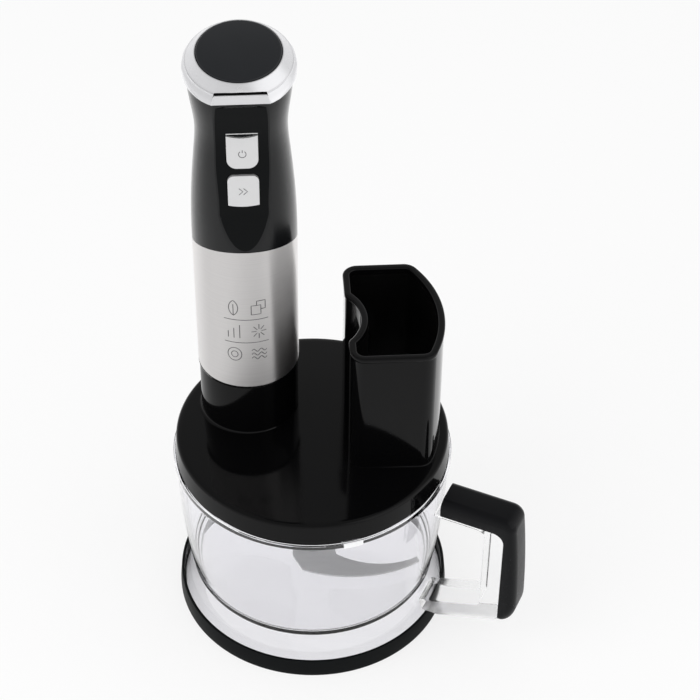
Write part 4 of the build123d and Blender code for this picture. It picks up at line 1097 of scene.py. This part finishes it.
    def outer_wall(self, start: float, end: float, inset: float, z: float) -> list[Point]:
        """The tube's outer wall, with the blind slot in it.

        Args:
            start: First angle in degrees.
            end: Last angle in degrees.
            inset: How far it lies inside the outer face.
            z: Height of this section.

        Returns:
            Its points, clockwise.
        """
        slot = self.slot_at - self.yaw
        half = math.degrees(self.slot_w / 2 / self.tube_outer)
        parts = 40
        angles = {start + (end - start) * index / parts for index in range(1, parts)}
        angles = {angle for angle in angles if abs(angle - slot) > 1.3 * half}
        angles |= {slot + half * share for share in self.slot_fan}
        head = self.slot_w / 2
        rise = max(0.0, z - (self.edge_z + self.slot_h - head)) / head
        width = half * math.sqrt(max(0.0, 1 - rise ** 2))
        opened = self.edge_z + self.slot_foot + 0.01 < z and rise < 1
        points = []
        for angle in sorted(angles, reverse=True):
            dent = self.slot_depth if opened and abs(angle - slot) < width * 1.01 else 0.0
            reach = self.tube_outer - inset - dent
            points.append((reach * math.cos(math.radians(angle)), reach * math.sin(math.radians(angle))))
        return points

    def tube_outline(self, inset: float, z: float) -> list[Point]:
        """The tube's plan, with the bite round the gear housing.

        Args:
            inset: How far it lies inside the outer face.
            z: Height of this section.

        Returns:
            Its points, clockwise from the back.
        """
        corner, horn = self.tube_corner, self.bite_corner
        back_y, front_y = self.tube_back - corner, self.tube_front + corner
        reach = self.tube_outer - corner
        back = (math.sqrt(reach ** 2 - back_y ** 2), back_y)
        front = (math.sqrt(reach ** 2 - front_y ** 2), front_y)
        back_turn = math.degrees(math.atan2(back[1], back[0]))
        front_turn = math.degrees(math.atan2(front[1], front[0]))
        bite = self.tube_bite + horn
        horn_x = self.tube_left + horn
        horn_y = math.sqrt(bite ** 2 - horn_x ** 2)
        bite_turn = math.degrees(math.atan2(horn_y, horn_x))
        left_x = self.tube_left + corner
        points = arc(back, corner - inset, 90, back_turn, 8)
        points += self.outer_wall(back_turn, front_turn, inset, z if inset == 0 else 0.0)
        points += arc(front, corner - inset, front_turn, -90, 8)
        points += arc((left_x, front_y), corner - inset, -90, -180, 10)
        points += arc((horn_x, -horn_y), horn - inset, 180, 180 - bite_turn, 6)
        points += arc((0, 0), self.tube_bite + inset, -bite_turn, bite_turn, 24)[1:-1]
        points += arc((horn_x, horn_y), horn - inset, 180 + bite_turn, 180, 6)
        points += arc((left_x, back_y), corner - inset, 180, 90, 10)
        return points

    def tube_walls(self, stations: Sequence[Point]) -> Bench:
        """Walls that follow the tube's plan.

        Args:
            stations: How far each section lies inside the outer face, and its height.

        Returns:
            The bench with the walls.
        """
        bench = Bench()
        outlines = [[(x, y, z) for x, y in self.tube_outline(inset, z)] for inset, z in stations]
        bench.loft(outlines, around=True)
        bench.swing(self.yaw)
        return bench

    def tube(self) -> None:
        """The open feed tube with its foot fillet and rolled rim, and a dull black sheet inside that paints
        shade in its bore.
        """
        lip, wall, top, low, roll = self.tube_lip, self.tube_wall, self.tube_z, self.tube_low, self.rim_round
        foot_z = self.edge_z + self.crown * self.tube_share
        stations = [(0.02, low), (-self.tube_foot, low)]
        stations += arc((-self.tube_foot, foot_z + self.tube_foot), self.tube_foot, -90, 0, 5)[:-1]
        slot_foot, slot_top = self.edge_z + self.slot_foot, self.edge_z + self.slot_h
        stations += [(0.0, slot_foot), (0.0, slot_foot + 0.05)]
        stations += [(0.0, slot_top + step) for step in self.slot_levels]
        stations += [(-lip * share, top - self.lip_h + step) for share, step in self.lip_shape]
        stations += arc((roll - lip, top - roll), roll, 180, 90, 5)
        stations += arc((wall - roll, top - roll), roll, 90, 0, 5)
        stations += [(wall, low)]
        self.tube_walls(stations).piece("lid_tube", GLOSS_BLACK, "lid", slot="gloss_black", crease=35)
        # a dull black sheet just inside the bore: painted shade on the tube's inner wall
        near, far = wall, wall + 0.1
        low, high = low + 0.1, top - self.inner_shade_top
        inner_shade = self.tube_walls(((near, low), (near, high), (far, high), (far, low)))
        inner_shade.piece("tube_lining", SHADE_BLACK, "lid", slot="gloss_black", crease=35)

    def in_tube(self, x: float, y: float) -> bool:
        """Whether a place lies inside the middle of the tube's wall.

        Args:
            x: The place's X.
            y: The place's Y.

        Returns:
            True inside it.
        """
        turned = Matrix.Rotation(math.radians(-self.yaw), 2) @ Vector((x, y))
        half = self.tube_wall / 2
        radius = turned.length
        return (self.tube_bite + half < radius < self.tube_outer - half and turned.x > self.tube_left + half
                and self.tube_front + half < turned.y < self.tube_back - half)

    def housing(self) -> None:
        """The gear housing under the lid, from the CAD's own shape, cut off below the plate."""
        bench = Bench()
        bench.copy_node("lid_shell")
        bench.cut((0, 0, self.plate_z), (0, 0, 1), drop=True)
        far = [face for face in bench.bm.faces if face.calc_center_median().xy.length > self.housing_reach]
        bmesh.ops.delete(bench.bm, geom=far, context="FACES")
        bench.piece("lid_housing", GLOSS_BLACK, "lid", "lid_shell", slot="gloss_black", outward=False)

    def build(self, nodes: dict[str, bpy.types.Object]) -> None:
        """Build the lid's pieces and dress what hangs under it.

        Args:
            nodes: The frame's nodes.
        """
        self.cover()
        self.lugs()
        self.collar()
        self.tube()
        self.housing()
        dress_all(nodes, {
            "gearbox_cover": GLOSS_BLACK, "gearbox_screws": PLAIN_STEEL, "idler_pin": PLAIN_STEEL,
            "output_bush": BRONZE, "input_gear": GEAR_PLASTIC, "idler_gear": GEAR_PLASTIC,
            "output_gear": GEAR_PLASTIC,
        })


# ---------------------------------------------------------------- printed signs
def ring(radius: float, at: Point = (0.0, 0.0), start: float = 0.0, end: float = 360.0) -> list[Point]:
    """A round stroke about a point, in the sign's own unit square."""
    return arc(at, radius, start, end, 24)


def petal(length: float, width: float) -> list[Point]:
    """A pointed oval that stands on its lower tip.

    Args:
        length: Its height.
        width: Its width.

    Returns:
        Its stroke.
    """
    radius = (length ** 2 / 4 + width ** 2 / 4) / width
    half = math.degrees(math.asin(length / 2 / radius))
    right = arc((width / 2 - radius, 0), radius, -half, half, 12)
    left = arc((radius - width / 2, 0), radius, 180 - half, 180 + half, 12)
    return right + left[1:]


def wave(y: float) -> list[Point]:
    """One wavy stroke across the sign."""
    return [(-0.9 + 1.8 * t / 20, y + 0.18 * math.sin(math.tau * t / 10)) for t in range(21)]


class Sign(Enum):
    """Generic line signs, each a list of strokes in a square from -1 to 1."""

    LEAF = (tuple(petal(1.9, 1.1)), ((0.0, -0.95), (0.0, 0.45)))
    WAVES = (tuple(wave(0.5)), tuple(wave(0.0)), tuple(wave(-0.5)))
    RINGS = (tuple(ring(0.85)), tuple(ring(0.4)))
    BARS = (((-0.7, -0.8), (-0.7, 0.0)), ((0.0, -0.8), (0.0, 0.45)), ((0.7, -0.8), (0.7, 0.9)))
    SQUARES = (
        ((-0.85, -0.85), (0.3, -0.85), (0.3, 0.3), (-0.85, 0.3), (-0.85, -0.85)),
        ((-0.2, 0.3), (-0.2, 0.85), (0.85, 0.85), (0.85, -0.2), (0.3, -0.2)),
    )
    SPOKES = tuple(
        ((0.3 * math.cos(a), 0.3 * math.sin(a)), (0.9 * math.cos(a), 0.9 * math.sin(a)))
        for a in (math.tau * k / 8 for k in range(8)))
    POWER = (tuple(ring(0.75, (0.0, 0.0), 125, 415)), ((0.0, 0.35), (0.0, 0.95)))
    CHEVRONS = (((-0.75, -0.6), (-0.1, 0.0), (-0.75, 0.6)), ((0.0, -0.6), (0.65, 0.0), (0.0, 0.6)))


def print_strokes(name: str, strokes: Sequence[Sequence[Sequence[float]]], width: float, body: str,
                  finish: Finish) -> bpy.types.Object:
    """Fine printed lines along places in millimetres.

    Args:
        name: Name of the piece.
        strokes: Lines of places.
        width: Width of each line.
        body: The body that they ride on.
        finish: The ink.

    Returns:
        The curve object.
    """
    curve = bpy.data.curves.new(name, "CURVE")
    curve.dimensions = "3D"
    curve.bevel_depth = width / 2 * MM
    curve.bevel_resolution = 0
    curve.use_fill_caps = True
    for stroke in strokes:
        spline = curve.splines.new("POLY")
        spline.points.add(len(stroke) - 1)
        for target, place in zip(spline.points, stroke):
            target.co = (*(Vector(place) * MM), 1.0)
    curve.materials.append(finish.material())
    item = bpy.data.objects.new(name, curve)
    bpy.context.scene.collection.objects.link(item)
    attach(item, body)
    log.info("piece %s: %d strokes on %s", name, len(strokes), body)
    return item


# ---------------------------------------------------------------- top ring
@dataclass
class TopRing:
    """Satin ring round the dial, with a flat lip and a dark plate at its front that paints a recess's shade.

    Levels are counted from the grip's tilted rim, and angles from the front.
    """

    tilt: float
    tilt_back: float
    wall_r: float = 29.7
    front: float = 25.3
    proud: float = 0.12
    bore: float = 22.6
    foot: float = 0.1
    bore_top: float = 10.1
    lip_half: float = 15.4
    lip_top_half: float = 13.5
    lip_top: float = 5.7
    lip_bow: float = 0.15
    lip_t: float = 0.8
    lip_round: float = 0.3
    recess_half: float = 14.6
    recess_rise: float = 1.7
    recess_low: float = 3.4
    recess_drop: float = 0.5
    recess_proud: float = 0.12
    recess_sunk: float = 0.4
    recess_clear: float = 1.3
    front_from: float = 0.2
    face: tuple[Point, ...] = (
        (0.6, 31.7), (4.1, 28.42), (4.2, 28.36), (4.78, 28.28), (4.95, 28.1), (5.1, 27.72), (10.0, 23.25),
        (10.15, 23.0), (10.2, 22.75),
    )
    levels: tuple[float, ...] = (
        0.1, 1.4, 2.6, 3.2, 3.7, 4.1, 4.2, 4.5, 4.78, 4.95, 5.1, 5.25, 5.42, 5.6, 6.4, 7.6, 8.8, 10.0, 10.08,
        10.15, 10.2,
    )

    def face_r(self, level: float) -> float:
        """Radius of the turned face at a level: a chamfer, a soft edge and the cone.

        Args:
            level: Height over the tilted rim.

        Returns:
            The radius.
        """
        if level <= self.face[0][0]:
            return self.face[0][1]
        for (low, first), (high, last) in zip(self.face, self.face[1:]):
            if level <= high:
                return first + (last - first) * (level - low) / (high - low)
        return self.face[-1][1]

    def reach(self, angle: float, level: float) -> float:
        """Distance from the tilted axis to the outside.

        Args:
            angle: Direction in degrees.
            level: Height over the tilted rim.

        Returns:
            The distance.
        """
        lean, turn = math.radians(self.tilt), math.radians(angle)
        side, depth = math.sin(turn), -math.cos(lean) * math.cos(turn)
        shift = self.tilt_back - math.sin(lean) * level
        square = side ** 2 + depth ** 2
        root = math.sqrt((depth * shift) ** 2 - square * (shift ** 2 - self.wall_r ** 2))
        found = min(self.face_r(level), (root - depth * shift) / square)
        if depth < -self.front_from:
            found = min(found, (self.front - self.lip_t / 2 + shift) / -depth)
        return found

    def spot(self, angle: float, radius: float, level: float) -> Vector:
        """A place in the tilted frame from its direction, distance and level."""
        turn = math.radians(angle)
        return Vector((radius * math.sin(turn), -radius * math.cos(turn), level))

    def lip(self, place: Matrix) -> None:
        """Flat lip that stands before the ring's front.

        Args:
            place: The tilted frame.
        """
        bench = Bench()
        lean = math.radians(self.tilt)
        top = [(self.lip_top_half * share, self.lip_top - self.lip_bow * share ** 2)
               for share in (1, 0.5, 0, -0.5, -1)]
        outline = [(-self.lip_half, self.foot), (self.lip_half, self.foot)] + top
        front = self.front + self.proud + self.tilt_back
        face = bench.plate([(x, -(front - math.sin(lean) * level) / math.cos(lean), level)
                            for x, level in outline])
        bench.pull(face, (0, self.lip_t * math.cos(lean), -self.lip_t * math.sin(lean)))
        bench.face_out()
        bench.ease(bench.sharp_edges(60), self.lip_round)
        bench.move(place)
        even_flow(bench.piece("ring_lip", RING_SATIN, "motor_unit", slot="silver_plastic", crease=40))

    def recess(self, place: Matrix) -> None:
        """Dark crescent plate between the lip and the ring's face: painted shade where a recess would lie.

        Args:
            place: The tilted frame.
        """
        bench = Bench()
        sections = []
        half_parts, rows, low = 24, 16, self.recess_low
        for index in range(2 * half_parts + 1):
            share = -1 + index / half_parts
            angle = math.degrees(math.atan(share * self.recess_half / (self.front + self.recess_clear)))
            high = self.lip_top - self.recess_drop + self.recess_rise * (1 - share ** 2)
            levels = [low + (high - low) * k / rows for k in range(rows + 1)]
            spots = [(self.recess_proud, level) for level in levels]
            spots += [(-self.recess_sunk, level) for level in reversed(levels)]
            sections.append([self.spot(angle, self.reach(angle, level) + out, level) for out, level in spots])
        bench.loft(sections)
        bmesh.ops.holes_fill(bench.bm, edges=bench.open_edges(), sides=0)
        bench.move(place)
        # a dull black plate that paints the shade of the recess
        bench.piece("ring_recess", SHADE_BLACK, "motor_unit", slot="soft_black")

    def build(self, place: Matrix) -> None:
        """Build the ring, its lip and the painted shade of its recess.

        Args:
            place: The tilted frame.
        """
        bench = Bench()
        angles = range(-180, 180)
        outlines = [[self.spot(angle, self.reach(angle, level), level) for angle in angles]
                    for level in self.levels]
        outlines += [[self.spot(angle, self.bore, level) for angle in angles]
                     for level in (self.bore_top, self.foot)]
        bench.loft(outlines, around=True)
        bench.move(place)
        even_flow(bench.piece("ring_satin_cap", RING_SATIN, "motor_unit", "top_ring", slot="silver_plastic",
                              crease=38))
        self.lip(place)
        self.recess(place)


# ---------------------------------------------------------------- motor unit
@dataclass
class MotorUnit:
    """Steel sleeve, black grip, panel, buttons, top ring and dial."""

    axis: Point = MOTOR_AT
    yaw: float = YAW
    sleeve_r: float = 29.0
    sleeve_t: float = 0.8
    sleeve_z: float = 163.9
    sleeve_top: float = 252.1
    sleeve_spare: float = 40.0
    sleeve_soft: float = 0.25
    slope: float = 0.33
    sign_columns: Point = (-8.0, 6.0)
    sign_rows: tuple[float, ...] = (222.6, 205.4, 188.6)
    sign_half: Point = (4.7, 5.6)
    rule_rows: Point = (214.1, 197.4)
    rule_ends: Point = (-13.5, 11.5)
    ink_w: float = 0.58
    ink_sunk: float = 0.06
    stroke_part: float = 1.2
    top_z: float = 360.5
    tilt: float = 11.3
    tilt_back: float = 2.155
    tilt_up: float = 0.431
    dial_r: float = 22.3
    dial_top: float = 11.0
    dial_crown: float = 1.3
    dial_round: float = 1.2
    dial_h: float = 8.0
    stem_r: float = 3.0
    stem_low: float = -4.9
    button_w: float = 16.6
    power_top: float = 333.3
    power_low: float = 313.0
    power_dish: float = 1.6
    power_round: float = 5.4
    turbo_top: float = 308.6
    turbo_low: float = 290.0
    turbo_round: float = 3.5
    turbo_bow: float = 1.0
    button_proud: float = 1.2
    button_soft: float = 0.6
    button_ink_w: float = 0.6
    button_ink_sunk: float = 0.12
    power_sign: Point = (321.6, 2.6)
    turbo_sign: Point = (299.2, 3.2)
    bar_gap: float = 0.55
    bar_h: float = 0.65
    bar_proud: float = 0.5
    bar_soft: float = 0.28
    cap_t: float = 4.0
    cap_first: float = 0.9
    cap_step: float = 1.3
    facets: int = 160
    front_rows: tuple[Point, ...] = (
        (364.5, 25.35), (344.5, 22.24), (328.1, 19.93), (306.1, 21.88), (284.9, 24.3),
    )

    def place(self) -> Matrix:
        """The unit's own frame in the row frame, in millimetres."""
        return Matrix.Translation((*self.axis, 0)) @ Matrix.Rotation(math.radians(self.yaw), 4, "Z")

    def tilted(self) -> Matrix:
        """The frame of the tilted top."""
        centre = Matrix.Translation((0, self.tilt_back, self.top_z + self.tilt_up))
        return self.place() @ centre @ Matrix.Rotation(math.radians(self.tilt), 4, "X")

    def sleeve(self) -> None:
        """Steel sleeve with a sloped top edge and a fine rolled lip."""
        bench = Bench()
        bore = self.sleeve_r - self.sleeve_t
        high = self.sleeve_top + self.sleeve_spare
        bench.turn([
            (self.sleeve_r - self.sleeve_soft, self.sleeve_z),
            (self.sleeve_r, self.sleeve_z + self.sleeve_soft), (self.sleeve_r, high), (bore, high),
            (bore, self.sleeve_z),
        ], self.facets)
        normal = Vector((0, self.slope, 1)).normalized()
        bench.cut((0, 0, self.sleeve_top), normal, drop=True)
        bmesh.ops.bridge_loops(bench.bm, edges=bench.open_edges())
        bench.move(self.place())
        bench.piece("sleeve_steel_tube", SLEEVE_STEEL, "motor_unit", "steel_sleeve", slot="brushed_sleeve")

    def signs(self) -> None:
        """Six line signs in two columns on the sleeve's front, with fine lines between the rows."""
        radius = self.sleeve_r - self.ink_sunk
        place = self.place()
        wide, tall = self.sign_half
        chosen = (Sign.LEAF, Sign.SQUARES, Sign.BARS, Sign.SPOKES, Sign.RINGS, Sign.WAVES)
        strokes = []
        for index, sign in enumerate(chosen):
            across, up = self.sign_columns[index % 2], self.sign_rows[index // 2]
            for stroke in sign.value:
                strokes.append([(across + wide * u, up + tall * v) for u, v in stroke])
        left, right = self.rule_ends
        parts = 20
        for row in self.rule_rows:
            strokes.append([(left + (right - left) * k / parts, row) for k in range(parts + 1)])
        wrapped = []
        for stroke in strokes:
            bent = []
            for across, up in self.fine(stroke):
                angle = across / radius
                bent.append(place @ Vector((radius * math.sin(angle), -radius * math.cos(angle), up)))
            wrapped.append(bent)
        print_strokes("sleeve_signs", wrapped, self.ink_w, "motor_unit", PRINT_GREY)

    def fine(self, stroke: Sequence[Point]) -> list[Point]:
        """A stroke with points close enough to follow the sleeve.

        Args:
            stroke: The stroke.

        Returns:
            Its points and those between them.
        """
        points = [stroke[0]]
        for low, high in zip(stroke, stroke[1:]):
            parts = max(1, round(math.dist(low, high) / self.stroke_part))
            points += [(low[0] + (high[0] - low[0]) * k / parts, low[1] + (high[1] - low[1]) * k / parts)
                       for k in range(1, parts + 1)]
        return points

    def copied(self, name: str, node: str, finish: Finish, slot: str) -> None:
        """A smooth copy of one of the unit's CAD nodes.

        Args:
            name: Name of the piece.
            node: CAD node that it stands for.
            finish: Its finish.
            slot: The record's material slot.
        """
        bench = Bench()
        bench.copy_node(node)
        even_flow(bench.piece(name, finish, "motor_unit", node, slot=slot, outward=False))

    def front_at(self, z: float) -> float:
        """Distance of the flat front before the axis at a height.

        Args:
            z: The height.

        Returns:
            The distance.
        """
        rows = flowing(self.front_rows, 12)
        for (high, first), (low, last) in zip(rows, rows[1:]):
            if low <= z <= high:
                return last + (first - last) * (z - low) / (high - low)
        return rows[0][1]

    def power_outline(self) -> list[Point]:
        """Upper button from the front: dished top edge and round lower corners.

        Returns:
            Its points, clockwise from the upper left.
        """
        half, rise, parts = self.button_w / 2, self.power_round, 20
        points = [(-half + self.button_w * k / parts,
                   self.power_top - self.power_dish * (1 - (2 * k / parts - 1) ** 2))
                  for k in range(parts + 1)]
        points += arc((half - rise, self.power_low + rise), rise, 0, -90, 10)
        points += arc((rise - half, self.power_low + rise), rise, -90, -180, 10)
        return points

    def turbo_outline(self) -> list[Point]:
        """Lower button from the front: round upper corners and a bowed lower edge.

        Returns:
            Its points, clockwise from the left.
        """
        half, rise, parts = self.button_w / 2, self.turbo_round, 16
        points = arc((rise - half, self.turbo_top - rise), rise, 180, 90, 8)
        points += arc((half - rise, self.turbo_top - rise), rise, 90, 0, 8)
        points += [(half - self.button_w * k / parts,
                    self.turbo_low + self.turbo_bow * (2 * k / parts - 1) ** 2)
                   for k in range(parts + 1)]
        return points

    def cap(self, name: str, outline: Sequence[Point], body: str, *nodes: str, proud: float,
            soft: float) -> None:
        """A satin cap that follows the front.

        Args:
            name: Name of the piece.
            outline: Its outline from the front.
            body: The body that it rides on.
            *nodes: CAD nodes that it stands for.
            proud: How far it stands out of the front.
            soft: Width of the rounding of its front edge.
        """
        bench = Bench()
        face = bench.plate([(x, 0.0, z) for x, z in outline])
        bench.pull(face, (0, self.cap_t, 0))
        low, high = min(z for _, z in outline), max(z for _, z in outline)
        level = low + self.cap_first
        while level < high - SLACK:
            bench.cut((0, 0, level), (0, 0, 1))
            level += self.cap_step
        for vert in bench.bm.verts:
            vert.co.y -= self.front_at(vert.co.z) + proud
        bench.face_out()
        rim = []
        for edge in bench.sharp_edges(50):
            if all(-vert.co.y > self.front_at(vert.co.z) + proud - SLACK for vert in edge.verts):
                rim.append(edge)
        bench.ease(rim, soft)
        bench.move(self.place())
        even_flow(bench.piece(name, BUTTON_SATIN, body, *nodes, slot="silver_plastic", crease=40))

    def button_sign(self, name: str, sign: Sign, spot: Point, body: str, finish: Finish) -> None:
        """A line sign on a button.

        Args:
            name: Name of the piece.
            sign: The sign.
            spot: Height of its middle and half its width.
            body: The body that it rides on.
            finish: The ink.
        """
        place = self.place()
        z, size = spot
        proud = self.button_proud - self.button_ink_sunk
        strokes = []
        for stroke in sign.value:
            fine = self.fine([(size * u, z + size * v) for u, v in stroke])
            strokes.append([place @ Vector((x, -self.front_at(up) - proud, up)) for x, up in fine])
        print_strokes(name, strokes, self.button_ink_w, body, finish)

    def buttons(self) -> None:
        """Both buttons, the fine bar over the upper one and their signs."""
        raised = {"proud": self.button_proud, "soft": self.button_soft}
        self.cap("button_power", self.power_outline(), "power", "power_button", **raised)
        self.cap("button_turbo", self.turbo_outline(), "turbo", "turbo_button", **raised)
        half, low = self.button_w / 2, self.power_top + self.bar_gap
        high = low + self.bar_h
        bar = [(-half, low), (-half, high), (half, high), (half, low)]
        self.cap("power_bar", bar, "motor_unit", proud=self.bar_proud, soft=self.bar_soft)
        self.button_sign("power_sign", Sign.POWER, self.power_sign, "power", PRINT_DARK)
        self.button_sign("turbo_sign", Sign.CHEVRONS, self.turbo_sign, "turbo", PRINT_GREY)

    def dial(self) -> None:
        """Domed dial with a rolled edge."""
        bench = Bench()
        steps, edge = 10, self.dial_round
        crown_r, low = self.dial_r - edge, self.dial_top - self.dial_h
        crown = []
        for index in range(steps + 1):
            r = crown_r * index / steps
            crown.append((r, self.dial_top + self.dial_crown * (1 - (r / crown_r) ** 2)))
        roll = arc((crown_r, self.dial_top - edge), edge, 90, 0, 6)
        section = crown + roll[1:]
        section += [(self.dial_r, low), (self.stem_r, low), (self.stem_r, self.stem_low), (0, self.stem_low)]
        bench.turn(section, self.facets, closed=False)
        bench.move(self.tilted())
        bench.piece("dial_black", DIAL_BLACK, "dial", "speed_dial", slot="soft_black", crease=30)

    def build(self, nodes: dict[str, bpy.types.Object]) -> None:
        """Build the unit's pieces and dress its inner nodes.

        Args:
            nodes: The frame's nodes.
        """
        self.sleeve()
        self.signs()
        self.copied("nose_black", "coupling_nose", GLOSS_BLACK, "gloss_black")
        self.copied("grip_black", "grip_shell", SOFT_BLACK, "soft_black")
        self.copied("panel_black_gloss", "control_panel", PANEL_BLACK, "gloss_black")
        TopRing(self.tilt, self.tilt_back).build(self.tilted())
        self.buttons()
        self.copied("gland_rubber", "cord_gland", RUBBER, "black_rubber")
        self.dial()
        dress_all(nodes, {
            "micro_switches": SOFT_BLACK, "control_board": BOARD_GREEN, "speed_control": SOFT_BLACK,
            "motor_frame": GEAR_PLASTIC, "field_core": CORE_STEEL, "brushes": CARBON,
            "lower_bearing": PLAIN_STEEL, "upper_bearing": PLAIN_STEEL, "armature": CORE_STEEL,
            "commutator": COPPER, "motor_shaft": PLAIN_STEEL, "cooling_fan": GEAR_PLASTIC,
            "drive_coupling": PLAIN_STEEL,
        })


def dress_all(nodes: dict[str, bpy.types.Object], finishes: dict[str, Finish]) -> None:
    """Give CAD nodes that are carried over their finishes.

    Args:
        nodes: The frame's nodes.
        finishes: The finish of each node, by its name.
    """
    for name, finish in finishes.items():
        materials = nodes[name].data.materials
        materials.clear()
        materials.append(finish.material())
        log.info("node %s: %s", name, finish.name)


# ---------------------------------------------------------------- studio
@dataclass(frozen=True)
class Lamp:
    """A soft square area lamp; places and its edge are in metres, its power in watts."""

    name: str
    place: tuple[float, float, float]
    edge: float
    power: float
    mirrored: bool
    aim: tuple[float, float, float] = (0.0, 0.0, 0.15)

    def hang(self) -> None:
        """Put the lamp in the scene."""
        light = bpy.data.lights.new(self.name, "AREA")
        light.shape = "SQUARE"
        light.size = self.edge
        light.energy = self.power
        item = bpy.data.objects.new(self.name, light)
        item.location = self.place
        item.rotation_euler = (Vector(self.aim) - Vector(self.place)).to_track_quat("-Z", "Y").to_euler()
        item.visible_glossy = self.mirrored
        bpy.context.scene.collection.objects.link(item)


@dataclass
class Studio:
    """Pale floor, soft lights and the camera, in metres."""

    camera_at: tuple[float, float, float] = (0.00647, -0.84762, 0.94955)
    pitch: float = 48.0
    lens: float = 104.3
    sensor: float = 36.0
    shift: float = 0.03796
    floor_half: float = 6.0
    floor_grey: float = 0.9
    floor_glow: float = 0.75
    world_light: float = 0.75
    ceiling: float = 0.5
    ceiling_span: Point = (0.15, 0.75)
    card: float = 0.4
    card_span: Point = (0.0, 0.3)
    lamps: tuple[Lamp, ...] = (
        Lamp("key", (-1.1, -0.7, 1.3), 1.5, 12, False),
        Lamp("fill", (1.2, -0.5, 0.9), 1.8, 6, True),
    )

    def world(self) -> None:
        """White behind the object, for the camera and in reflections, with a greyer ceiling in the gloss."""
        world = bpy.data.worlds.new("studio")
        bpy.context.scene.world = world
        board = Wiring(world)
        output = board.add("ShaderNodeOutputWorld")
        background = board.add("ShaderNodeBackground")
        path = board.add("ShaderNodeLightPath")
        seen = board.combine("MAXIMUM", (path, "Is Camera Ray"), (path, "Is Transmission Ray"))
        bright = board.combine("MAXIMUM", (seen, "Value"), (path, "Is Glossy Ray"))
        level = board.ramp(bright, "Value", (0.0, 1.0), (self.world_light, 1.0))
        up = board.coordinate("ShaderNodeTexCoord", "Generated", "Z")
        above = board.ramp(*up, self.ceiling_span, (1.0, self.ceiling))
        gloss = board.ramp(path, "Is Glossy Ray", (0.0, 1.0), (1.0, 1.0))
        board.wire(above, "Result", gloss, "To Max")
        whole = board.combine("MULTIPLY", (level, "Result"), (gloss, "Result"))
        board.wire(whole, "Value", background, "Strength")
        background.inputs["Color"].default_value = (1, 1, 1, 1)
        board.wire(background, "Background", output, "Surface")

    def floor_material(self) -> bpy.types.Material:
        """Pale matte that glows for the camera, and behind the object in the gloss.

        Returns:
            The material.
        """
        material = bpy.data.materials.new("pale_floor")
        board = Wiring(material)
        output = board.add("ShaderNodeOutputMaterial")
        path = board.add("ShaderNodeLightPath")
        matte = board.add("ShaderNodeBsdfDiffuse")
        matte.inputs["Color"].default_value = (self.floor_grey, self.floor_grey, self.floor_grey, 1)
        glow = board.add("ShaderNodeEmission")
        glow.inputs["Color"].default_value = (1, 1, 1, 1)
        seen = board.combine("MAXIMUM", (path, "Is Camera Ray"), (path, "Is Transmission Ray"))
        share = board.combine("MULTIPLY", (seen, "Value"))
        share.inputs[1].default_value = self.floor_glow
        mix = board.add("ShaderNodeMixShader")
        board.wire(share, "Value", mix, "Fac")
        board.wire(matte, "BSDF", mix, 1)
        board.wire(glow, "Emission", mix, 2)
        back = board.coordinate("ShaderNodeNewGeometry", "Position", "Y")
        behind = board.ramp(*back, self.card_span, (0.0, self.card))
        mirrored = board.combine("MULTIPLY", (path, "Is Glossy Ray"), (behind, "Result"))
        card = board.add("ShaderNodeEmission")
        board.wire(mirrored, "Value", card, "Strength")
        both = board.add("ShaderNodeAddShader")
        board.wire(mix, "Shader", both, 0)
        board.wire(card, "Emission", both, 1)
        board.wire(both, "Shader", output, "Surface")
        return material

    def floor(self) -> None:
        """A large pale floor that keeps a soft shadow."""
        bm = bmesh.new()
        bmesh.ops.create_grid(bm, x_segments=1, y_segments=1, size=self.floor_half)
        mesh = bpy.data.meshes.new("floor")
        bm.to_mesh(mesh)
        bm.free()
        item = bpy.data.objects.new("floor", mesh)
        bpy.context.scene.collection.objects.link(item)
        mesh.materials.append(self.floor_material())

    def camera(self) -> None:
        """The camera at the object's viewing angle."""
        data = bpy.data.cameras.new("camera")
        data.lens = self.lens
        data.sensor_width = self.sensor
        data.shift_x = self.shift
        item = bpy.data.objects.new("camera", data)
        item.location = self.camera_at
        item.rotation_euler = (math.radians(self.pitch), 0, 0)
        bpy.context.scene.collection.objects.link(item)
        bpy.context.scene.camera = item

    def build(self) -> None:
        """Set up the whole studio."""
        self.world()
        self.floor()
        self.camera()
        for lamp in self.lamps:
            lamp.hang()
        bpy.context.scene.view_settings.view_transform = "Standard"


def main() -> None:
    """Load the frame and build every piece."""
    logging.basicConfig(level=logging.INFO, format="%(message)s")
    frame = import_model()
    nodes = frame["nodes"]
    Studio().build()
    Base().build(nodes)
    Bowl().build()
    BowlHandle().build()
    Blade().build(nodes)
    Lid().build(nodes)
    MotorUnit().build(nodes)


if __name__ == "__main__":
    main()
